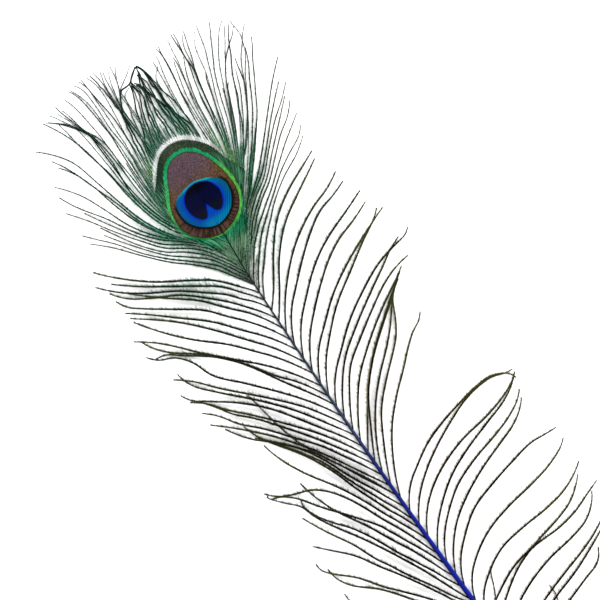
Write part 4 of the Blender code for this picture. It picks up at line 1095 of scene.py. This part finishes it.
def add_fill(sheaf, side, courses):
    """Short fine barbs outside the vane, where its barbs lose hold of each other."""
    for root_y, course in courses:
        path, first = shown_part(course)
        add_short(sheaf, side, root_y, path, first, FILL_REACH)


def add_lower(sheaf, side, barbs, fine):
    """The barbs at the foot of the vane, if wanted with finer ones between them next to the shaft."""
    for barb, following in zip(barbs, (*barbs[1:], *barbs[-1:])):
        path, first = shown_part(barb_path(barb))
        add_barb(sheaf, Barb(path, barb[0], first, VANE_ARCH, LOWER, 1.0, side.fore))
        if fine and FOOT_FROM_TO[0] < barb[0] < FOOT_FROM_TO[1]:
            between = (barb_path(barb, GUIDE_STEPS) + barb_path(following, GUIDE_STEPS)) / 2
            path, first = shown_part(between)
            add_short(sheaf, side, barb[0], path, first, FOOT_REACH)


def make_fringe(name, seed, side, lines, tuft, band, lower, fill, material):
    """One side of the fringe."""
    sheaf = Sheaf(seed)
    add_traced(sheaf, side, lines, FRINGE)
    add_traced(sheaf, side, tuft, TUFT)
    add_fill(sheaf, side, fill)
    add_lower(sheaf, side, band, False)
    add_lower(sheaf, side, lower, True)
    make_piece(name, sheaf, material)


def make_loose(name, seed, side, barbs, strays, material):
    """The loose barbs of one side, with the strays that lie across them."""
    sheaf = Sheaf(seed)
    for strength, group in ((1.0, barbs), (STRAY_STRENGTH, strays)):
        for barb in group:
            add_barb(sheaf, Barb(barb_path(barb), barb[0], 0, LOOSE_ARCH, LOOSE, strength, side.fore))
    make_piece(name, sheaf, material)


# ---------------------------------------------------------------------------------------------
# The shaft
# ---------------------------------------------------------------------------------------------
def make_shaft(material):
    """The bowed, tapering shaft, its cut end hollow."""
    sheaf = Sheaf(2)
    across, up = np.array(SHAFT_SECTION).T
    count = len(across)
    hollow = ((QUILL_END_Y + HOLLOW_DEPTH, HOLLOW_BOTTOM), (QUILL_END_Y, HOLLOW_MOUTH))
    outside = [(y, 1.0) for y in np.linspace(QUILL_END_Y, SHAFT_END_Y, SHAFT_ROWS)]
    rings = []
    for y, size in (*hollow, *outside):
        low = 1 - (1 - SUNK) * smoothstep(*SUNK_FROM_TO, y)
        middle = (1 - size) / 2
        heights = (middle + up * size) * shaft_thickness(y) * low
        places = shaft_x(y) + across * size * shaft_width(y) / 2
        rings.append(np.stack([places, np.full(count, y), heights], axis=1))
    height = np.array([y for y, _ in (*hollow, *outside)])
    share = (height - QUILL_END_Y) / (SHAFT_END_Y - QUILL_END_Y)
    inner = [1.0] * len(hollow) + [0.0] * len(outside)
    sheaf.tube(
        np.array(rings),
        along=np.repeat(share, count),
        across=np.tile(across, len(rings)),
        out=np.tile(up, len(rings)),
        bare=np.repeat(inner, count),
        row=sheaf.new_row(),
    )
    make_piece("shaft", sheaf, material)


# ---------------------------------------------------------------------------------------------
# Materials
# ---------------------------------------------------------------------------------------------
def paint(red, green, blue):
    """A colour given as it looks on a screen, 0 to 255, as the linear one that gives that picture."""
    linear = []
    for value in (red, green, blue):
        value /= 255
        linear.append(value / 12.92 if value <= 0.04045 else ((value + 0.055) / 1.055) ** 2.4)
    return (*(value / LIGHT_LEVEL for value in linear), 1.0)


class Nodes:
    """Short ways to add the few kinds of node that the materials are made of."""

    def __init__(self, name):
        self.material = bpy.data.materials.new(name)
        self.material.use_nodes = True
        self.tree = self.material.node_tree
        self.shader = self.tree.nodes["Principled BSDF"]

    def finish(self, colour, roughness, specular):
        """Set the surface and return the material."""
        self.link(colour, self.shader.inputs["Base Color"])
        self.shader.inputs["Roughness"].default_value = roughness
        self.shader.inputs["Specular IOR Level"].default_value = specular
        return self.material

    def link(self, value, socket):
        """Feed a socket with another socket, a number or a colour."""
        if isinstance(value, bpy.types.NodeSocket):
            self.tree.links.new(value, socket)
        else:
            socket.default_value = value

    def attribute(self, name):
        """A number kept for each vertex."""
        node = self.tree.nodes.new("ShaderNodeAttribute")
        node.attribute_name = name
        return node.outputs["Fac"]

    def place(self):
        """Object coordinates, and X and Y in millimetres from the eye."""
        node = self.tree.nodes.new("ShaderNodeTexCoord")
        apart = self.tree.nodes.new("ShaderNodeSeparateXYZ")
        self.link(node.outputs["Object"], apart.inputs[0])
        x = self.math("ADD", self.math("DIVIDE", apart.outputs["X"], MM), (LEFT_X + RIGHT_X) / 2)
        y = self.math("ADD", self.math("DIVIDE", apart.outputs["Y"], MM), (QUILL_END_Y + TOP_Y) / 2)
        return node.outputs["Object"], x, y

    def combine(self, x, y, z):
        """A vector of three numbers."""
        node = self.tree.nodes.new("ShaderNodeCombineXYZ")
        for value, socket in zip((x, y, z), node.inputs):
            self.link(value, socket)
        return node.outputs[0]

    def math(self, operation, first, second=0.0):
        """A sum, product or other step of arithmetic."""
        node = self.tree.nodes.new("ShaderNodeMath")
        node.operation = operation
        self.link(first, node.inputs[0])
        self.link(second, node.inputs[1])
        return node.outputs[0]

    def times(self, *values):
        """The product of several numbers."""
        result = values[0]
        for value in values[1:]:
            result = self.math("MULTIPLY", result, value)
        return result

    def rise(self, value, low, high, least=0.0, most=1.0):
        """A value read as a smooth rise, or fall, between two of its levels."""
        node = self.tree.nodes.new("ShaderNodeMapRange")
        node.interpolation_type = "SMOOTHSTEP"
        for name, given in (("From Min", low), ("From Max", high), ("To Min", least), ("To Max", most)):
            node.inputs[name].default_value = given
        self.link(value, node.inputs["Value"])
        return node.outputs["Result"]

    def noise(self, scale, detail, vector):
        """Noise between 0 and 1."""
        node = self.tree.nodes.new("ShaderNodeTexNoise")
        node.inputs["Scale"].default_value = scale
        node.inputs["Detail"].default_value = detail
        self.link(vector, node.inputs["Vector"])
        return node.outputs["Fac"]

    def mix(self, share, first, second):
        """Two colours mixed."""
        node = self.tree.nodes.new("ShaderNodeMix")
        node.data_type = "RGBA"
        self.link(share, node.inputs["Factor"])
        self.link(first, node.inputs["A"])
        self.link(second, node.inputs["B"])
        return node.outputs["Result"]

    def ramp(self, value, stops):
        """A value read as a colour between the given stops."""
        node = self.tree.nodes.new("ShaderNodeValToRGB")
        points = node.color_ramp.elements
        while len(points) < len(stops):
            points.new(0.5)
        for point, (position, colour) in zip(points, stops):
            point.position = position
            point.color = colour
        self.link(value, node.inputs["Fac"])
        return node.outputs["Color"]


def loose_colour(nodes, x, y, tint, out, speckle):
    """Barbs away from the eye: near-black stems, brown-olive barbules and olive ends."""
    high = nodes.rise(y, -120.0, -30.0)
    stem = nodes.mix(tint, paint(2, 4, 8), paint(14, 10, 8))
    stem = nodes.mix(nodes.times(high, 0.85), stem, paint(6, 24, 20))
    stem = nodes.mix(nodes.rise(y, -56.0, -20.0, 0.0, 0.8), stem, paint(6, 46, 36))
    olive = nodes.mix(speckle, paint(52, 48, 34), paint(132, 124, 96))
    tan = nodes.mix(speckle, paint(104, 86, 52), paint(204, 184, 136))
    fuzz = nodes.mix(nodes.rise(x, -12.0, 8.0), olive, tan)
    fuzz = nodes.mix(nodes.times(high, 0.6), fuzz, paint(40, 96, 68))
    end = nodes.rise(nodes.attribute("along"), 0.4, 0.95)
    end = nodes.times(end, nodes.rise(y, 50.0, 10.0, 0.1, 1.0), 0.6)
    end_colour = nodes.mix(tint, paint(22, 52, 24), paint(92, 92, 34))
    return nodes.mix(end, nodes.mix(out, stem, fuzz), end_colour)


def lush_colour(nodes, tint, out, speckle):
    """Barbs near the eye: deep green stems and bright green barbules."""
    stem = nodes.mix(tint, paint(1, 14, 11), paint(6, 62, 42))
    fuzz = nodes.mix(speckle, paint(30, 160, 106), paint(150, 240, 200))
    return nodes.mix(out, stem, fuzz)


def with_down(nodes, colour, out, speckle):
    """A colour with the pale barbules of the downy patches, and paler on faint barbs."""
    faint = nodes.attribute("faint")
    pale = nodes.mix(speckle, paint(78, 156, 106), paint(226, 232, 220))
    downy = nodes.math("MAXIMUM", nodes.times(out, 0.85), nodes.rise(faint, 0.6, 0.75))
    colour = nodes.mix(nodes.times(nodes.attribute("down"), downy), colour, pale)
    return nodes.mix(nodes.times(faint, 0.3), colour, paint(110, 118, 116))


def bare_colour(nodes, x, speckle):
    """The pale bare stems above the eye, greener on its left."""
    white = nodes.mix(speckle, paint(172, 198, 186), paint(236, 240, 238))
    green = nodes.mix(speckle, paint(84, 170, 124), paint(196, 226, 212))
    return nodes.mix(nodes.rise(x, -4.0, -12.0), white, green)


def barb_material():
    """Barbs: dark stems with barbules, green near the eye, lime in spots, pale where down or bare."""
    nodes = Nodes("barbs")
    vector, x, y = nodes.place()
    tint = nodes.attribute("tint")
    out = nodes.rise(nodes.attribute("out"), 0.1, 0.7)
    speckle = nodes.rise(nodes.noise(1300.0, 2.0, vector), 0.4, 0.62)
    loose = loose_colour(nodes, x, y, tint, out, speckle)
    colour = nodes.mix(nodes.attribute("green"), loose, lush_colour(nodes, tint, out, speckle))
    lime = nodes.mix(speckle, paint(44, 116, 44), paint(150, 204, 124))
    colour = nodes.mix(nodes.times(nodes.attribute("lime"), 0.85), colour, lime)
    colour = with_down(nodes, colour, out, speckle)
    colour = nodes.mix(nodes.attribute("bare"), colour, bare_colour(nodes, x, speckle))
    return nodes.finish(colour, 0.6, 0.02)


# What the parts of the eye's material share: places, marks, two noises, and how far outside each
# zone's outline a place is.
Eye = namedtuple("Eye", "x y tint out grain speckle pupil blue brown ring")


def read_eye(nodes):
    """The shared readings of the eye's material. The outlines are ragged, as each barb ends a zone anew."""
    vector, x, y = nodes.place()
    tint = nodes.attribute("tint")
    ragged = nodes.times(nodes.math("SUBTRACT", tint, 0.5), 0.35)
    zones = [
        nodes.math("ADD", nodes.attribute(name), nodes.times(ragged, share))
        for name, share in (("pupil", 0.6), ("blue", 0.6), ("brown", 0.6), ("ring", 1.8))
    ]
    grain = nodes.noise(1500.0, 3.0, vector)
    speckle = nodes.rise(nodes.noise(1100.0, 2.0, vector), 0.4, 0.62)
    return Eye(x, y, tint, nodes.attribute("out"), grain, speckle, *zones)


def vane_colour(nodes, eye):
    """Outside the ring: the green foot, paler and more mixed below, and the dark olive band above."""
    lines = nodes.math("ADD", nodes.times(nodes.attribute("across"), 1.3), nodes.times(eye.tint, 60.0))
    drawn = nodes.combine(lines, nodes.times(nodes.attribute("along"), 12.0), 0.0)
    hair = nodes.noise(1.0, 2.0, drawn)
    bright = nodes.times(nodes.rise(hair, 0.48, 0.58), 0.9)
    edge = nodes.math("MAXIMUM", bright, nodes.times(eye.speckle, 0.6))
    beside = nodes.rise(eye.y, 24.0, 14.0)

    foot = nodes.mix(edge, paint(4, 38, 26), paint(136, 176, 136))
    foot_top = nodes.mix(edge, paint(0, 54, 38), paint(40, 188, 128))
    foot = nodes.mix(nodes.rise(eye.y, -28.0, -19.0), foot, foot_top)
    band = nodes.mix(nodes.rise(eye.grain, 0.35, 0.65), paint(32, 56, 42), paint(88, 98, 74))
    band = nodes.mix(nodes.rise(eye.x, -3.0, -11.0, 0.0, 0.8), band, paint(18, 52, 36))
    streaks = nodes.mix(edge, paint(4, 40, 28), paint(86, 158, 112))
    band = nodes.mix(nodes.rise(eye.y, 22.0, 12.0), band, streaks)
    colour = nodes.mix(nodes.rise(eye.y, -12.0, -4.0), foot, band)
    colour = nodes.mix(nodes.rise(eye.x, 2.0, 9.0, 0.0, 0.3), colour, paint(8, 48, 34))
    dark_barb = nodes.times(nodes.rise(hair, 0.5, 0.4), beside, 0.7)
    colour = nodes.mix(dark_barb, colour, paint(4, 40, 28))
    left = nodes.rise(eye.x, 4.0, -8.0, 0.2, 1.0)
    pale_barb = nodes.times(nodes.rise(hair, 0.52, 0.62), beside, 0.7, left)
    return nodes.mix(pale_barb, colour, paint(136, 200, 158))


def ring_colour(nodes, eye):
    """The ring: emerald above, lime at the right and below, darker at the lower left."""
    colour = nodes.mix(nodes.rise(eye.y, 4.0, 18.0), paint(118, 222, 84), paint(34, 184, 118))
    colour = nodes.mix(nodes.rise(eye.x, -6.0, -14.0, 0.0, 0.6), colour, paint(80, 216, 128))
    colour = nodes.mix(nodes.rise(eye.y, -20.0, -10.0), paint(78, 176, 84), colour)
    lower_left = nodes.times(nodes.rise(eye.x, -4.0, -12.0), nodes.rise(eye.y, 3.0, -5.0), 0.8)
    colour = nodes.mix(lower_left, colour, paint(26, 88, 38))
    return nodes.mix(nodes.times(eye.speckle, 0.5), colour, paint(20, 116, 60))


def bronze_colour(nodes, eye):
    """The bronze zone: mauve above, rust with fine dark ribs below, and dark next to the blue."""
    ray = nodes.math("ARCTAN2", nodes.math("ADD", eye.y, 1.0), nodes.math("ADD", eye.x, 0.5))
    away = nodes.math("SQRT", nodes.math("ADD", nodes.times(eye.x, eye.x), nodes.times(eye.y, eye.y)))
    rays = nodes.combine(nodes.times(ray, 17.0), nodes.times(away, 0.12), nodes.times(eye.tint, 0.5))
    ribs = nodes.rise(nodes.noise(1.0, 1.0, rays), 0.42, 0.58)
    grain = nodes.rise(eye.grain, 0.36, 0.64)
    beside = nodes.rise(nodes.math("ABSOLUTE", eye.x), 9.0, 15.0)

    mauve = nodes.mix(grain, paint(88, 68, 78), paint(126, 102, 110))
    bronze = nodes.mix(grain, paint(84, 58, 36), paint(130, 98, 66))
    rust = nodes.mix(ribs, paint(106, 78, 66), paint(56, 36, 28))
    colour = nodes.mix(nodes.rise(eye.y, 6.0, 18.0), bronze, mauve)
    colour = nodes.mix(beside, colour, bronze)
    colour = nodes.mix(nodes.rise(eye.y, -6.0, 4.0), rust, colour)
    light = nodes.math("MAXIMUM", nodes.rise(eye.blue, 0.5, 1.9), nodes.rise(eye.y, 4.0, 9.0))
    light = nodes.math("MINIMUM", light, nodes.rise(eye.brown, 0.0, -0.9, 0.1))
    return nodes.mix(light, paint(14, 14, 10), colour)


def blue_colour(nodes, eye):
    """The blue zone: royal next to the dark spot, paler at its rim and turquoise along its top, with
    painted shade in the grooves between its blades below its middle.
    """
    stops = ((0.0, (0, 84, 204)), (0.4, (0, 106, 192)), (0.8, (0, 124, 188)), (1.0, (0, 122, 152)))
    rim = nodes.ramp(nodes.rise(eye.blue, -4.5, 0.0), [(place, paint(*colour)) for place, colour in stops])
    top = nodes.times(nodes.rise(eye.y, 7.5, 9.5), nodes.rise(eye.blue, -1.4, -0.4))
    rim = nodes.mix(top, rim, paint(20, 196, 184))
    rim = nodes.mix(nodes.rise(eye.y, -7.0, -11.0, 0.0, 0.8), rim, paint(0, 146, 198))
    rim = nodes.mix(nodes.rise(eye.x, -4.0, -9.0, 0.0, 0.5), rim, paint(0, 56, 164))
    rim = nodes.mix(nodes.rise(eye.x, 6.0, 13.0, 0.0, 0.4), rim, paint(0, 40, 90))
    colour = nodes.mix(nodes.rise(eye.pupil, 0.0, 0.9), paint(0, 40, 204), rim)
    # Painted shade in the grooves between blades: the edges and undersides of the blades are darkened in
    # the lower part of the blue.
    groove_shade = nodes.times(nodes.rise(eye.out, 0.4, 0.9), nodes.rise(eye.y, 0.0, -6.0), 0.6)
    return nodes.mix(groove_shade, colour, paint(0, 40, 110))


def spot_colour(nodes, eye):
    """The dark spot, bluest across its middle."""
    colour = nodes.mix(nodes.rise(eye.y, 4.0, 9.0), paint(4, 8, 52), paint(1, 2, 14))
    return nodes.mix(nodes.rise(eye.y, 0.0, -5.0), colour, paint(16, 20, 38))


def eye_material():
    """The eye: zones of colour set by the distance from their outlines, drawn along the barbs, with painted
    shade in the grooves between the blades inside the ring.
    """
    nodes = Nodes("eye")
    eye = read_eye(nodes)
    colour = vane_colour(nodes, eye)
    colour = nodes.mix(nodes.rise(eye.ring, 0.15, -0.35), colour, ring_colour(nodes, eye))
    colour = nodes.mix(nodes.rise(eye.brown, 0.1, -0.3), colour, bronze_colour(nodes, eye))
    colour = nodes.mix(nodes.rise(eye.blue, 0.15, -0.15), colour, blue_colour(nodes, eye))
    colour = nodes.mix(nodes.rise(eye.pupil, 0.2, -0.2), colour, spot_colour(nodes, eye))
    # Painted shade in the grooves between blades: their edges and undersides are darkened inside the ring.
    groove_shade = nodes.times(nodes.rise(eye.out, 0.6, 1.0), nodes.rise(eye.ring, 0.0, -1.0), 0.25)
    colour = nodes.mix(groove_shade, colour, paint(12, 16, 14))
    colour = nodes.mix(nodes.times(eye.tint, 0.12), colour, paint(12, 16, 20))
    return nodes.finish(colour, 0.5, 0.02)


# Colours of the shaft from its cut end to its fine end, at these shares of its length, in four strips
# across it: painted shade along its left edge, its own colour in the middle, a painted highlight right
# of the middle, and along its right edge a painted highlight near the quill that turns to painted shade
# further up. The last two colours are the same in every strip.
SHAFT_SHARES = (0.0, 0.06, 0.35, 0.5, 0.56, 0.66, 0.8, 0.86, 1.0)
SHAFT_LIT_AND_SHADED = (
    ((90, 92, 130), (4, 4, 70), (2, 2, 60), (4, 6, 44), (8, 12, 40), (12, 18, 32), (10, 18, 24)),
    ((120, 124, 170), (4, 12, 158), (2, 10, 146), (12, 24, 112), (40, 54, 98), (44, 60, 82), (34, 44, 54)),
    ((140, 146, 190), (34, 58, 206), (20, 44, 190), (34, 50, 146), (70, 88, 132), (70, 92, 116),
     (56, 68, 80)),
    ((150, 160, 200), (60, 90, 214), (34, 60, 190), (8, 14, 60), (10, 14, 40), (12, 20, 36), (14, 22, 28)),
)
SHAFT_FAR = ((6, 30, 26), (2, 10, 12))


def shaft_material():
    """The horn of the shaft: vivid blue, darker towards the eye, with painted shade and painted highlights
    in strips along it.
    """
    nodes = Nodes("shaft")
    vector, _, _ = nodes.place()
    place = nodes.attribute("along")
    across = nodes.attribute("across")
    strips = []
    for colours in SHAFT_LIT_AND_SHADED:
        stops = [(share, paint(*colour)) for share, colour in zip(SHAFT_SHARES, (*colours, *SHAFT_FAR))]
        strips.append(nodes.ramp(place, stops))
    # The strips are mixed across the shaft: painted shade at the left, painted highlights right of the
    # middle and on the right edge.
    colour = nodes.mix(nodes.rise(across, -0.7, -0.3), strips[0], strips[1])
    colour = nodes.mix(nodes.rise(across, 0.0, 0.4), colour, strips[2])
    colour = nodes.mix(nodes.rise(across, 0.6, 0.85), colour, strips[3])
    fibre = nodes.noise(220.0, 4.0, vector)
    colour = nodes.mix(nodes.times(fibre, 0.2), colour, paint(2, 4, 30))
    colour = nodes.mix(nodes.attribute("bare"), colour, paint(150, 146, 150))
    return nodes.finish(colour, 0.4, 0.05)


def floor_material():
    """A plain pale surface."""
    nodes = Nodes("floor")
    vector, _, _ = nodes.place()
    colour = nodes.mix(nodes.noise(6.0, 2.0, vector), (0.88, 0.88, 0.88, 1), (0.91, 0.91, 0.91, 1))
    return nodes.finish(colour, 0.9, 0.05)


# ---------------------------------------------------------------------------------------------
# The setting
# ---------------------------------------------------------------------------------------------
def add_floor():
    """The surface that the feather lies on."""
    bpy.ops.mesh.primitive_grid_add(x_subdivisions=8, y_subdivisions=8, size=FLOOR_SIZE)
    floor = bpy.context.object
    floor.name = "floor"
    floor.data.materials.append(floor_material())


def add_camera():
    """A camera straight above the middle of the picture, turned so that the feather leans left."""
    lens = bpy.data.cameras.new("camera")
    lens.lens = LENS
    lens.sensor_width = SENSOR
    camera = bpy.data.objects.new("camera", lens)
    bpy.context.collection.objects.link(camera)
    x, y, _ = in_place(np.array([(*PICTURE_MIDDLE, 0.0)]))[0]
    camera.location = (x, y, SCENE_WIDTH * MM * LENS / SENSOR)
    camera.rotation_euler = (0, 0, LEAN)
    bpy.context.scene.camera = camera


def add_light():
    """An even bright sky and two large soft lights from the sides."""
    world = bpy.data.worlds.new("studio")
    world.use_nodes = True
    background = world.node_tree.nodes["Background"]
    background.inputs["Color"].default_value = (1, 1, 1, 1)
    background.inputs["Strength"].default_value = SKY_STRENGTH
    bpy.context.scene.world = world
    for name, place, energy in PANELS:
        panel = bpy.data.lights.new(name, "AREA")
        panel.shape = "DISK"
        panel.size = PANEL_SIZE
        panel.energy = energy
        light = bpy.data.objects.new(name, panel)
        light.location = place
        light.rotation_euler = Vector(place).to_track_quat("Z", "Y").to_euler()
        bpy.context.collection.objects.link(light)


def build():
    """The feather and its setting."""
    bpy.context.scene.view_settings.view_transform = "Standard"
    add_camera()
    add_light()
    add_floor()
    left = make_side(VANE_LEFT, 1)
    right = make_side(VANE_RIGHT, -1)
    barbs = barb_material()
    make_shaft(shaft_material())
    make_eye(left, right, eye_material())
    over = courses_over(left, right, FILL_OVER)
    middle = FILL_OVER // 2
    fill = vane_courses(left, vane_roots(*FILL_LEFT)) + over[:middle]
    make_fringe("fringe_left", 3, left, FRINGE_LEFT, TUFT_LEFT, (), LOWER_LEFT, fill, barbs)
    fill = vane_courses(right, vane_roots(*FILL_RIGHT)[::2]) + over[middle:]
    make_fringe("fringe_right", 4, right, FRINGE_RIGHT, TUFT_RIGHT, BAND_RIGHT, LOWER_RIGHT, fill, barbs)
    make_loose("loose_left", 5, left, LOOSE_LEFT, STRAYS_LEFT, barbs)
    make_loose("loose_right", 6, right, LOOSE_RIGHT, STRAYS_RIGHT, barbs)


build()
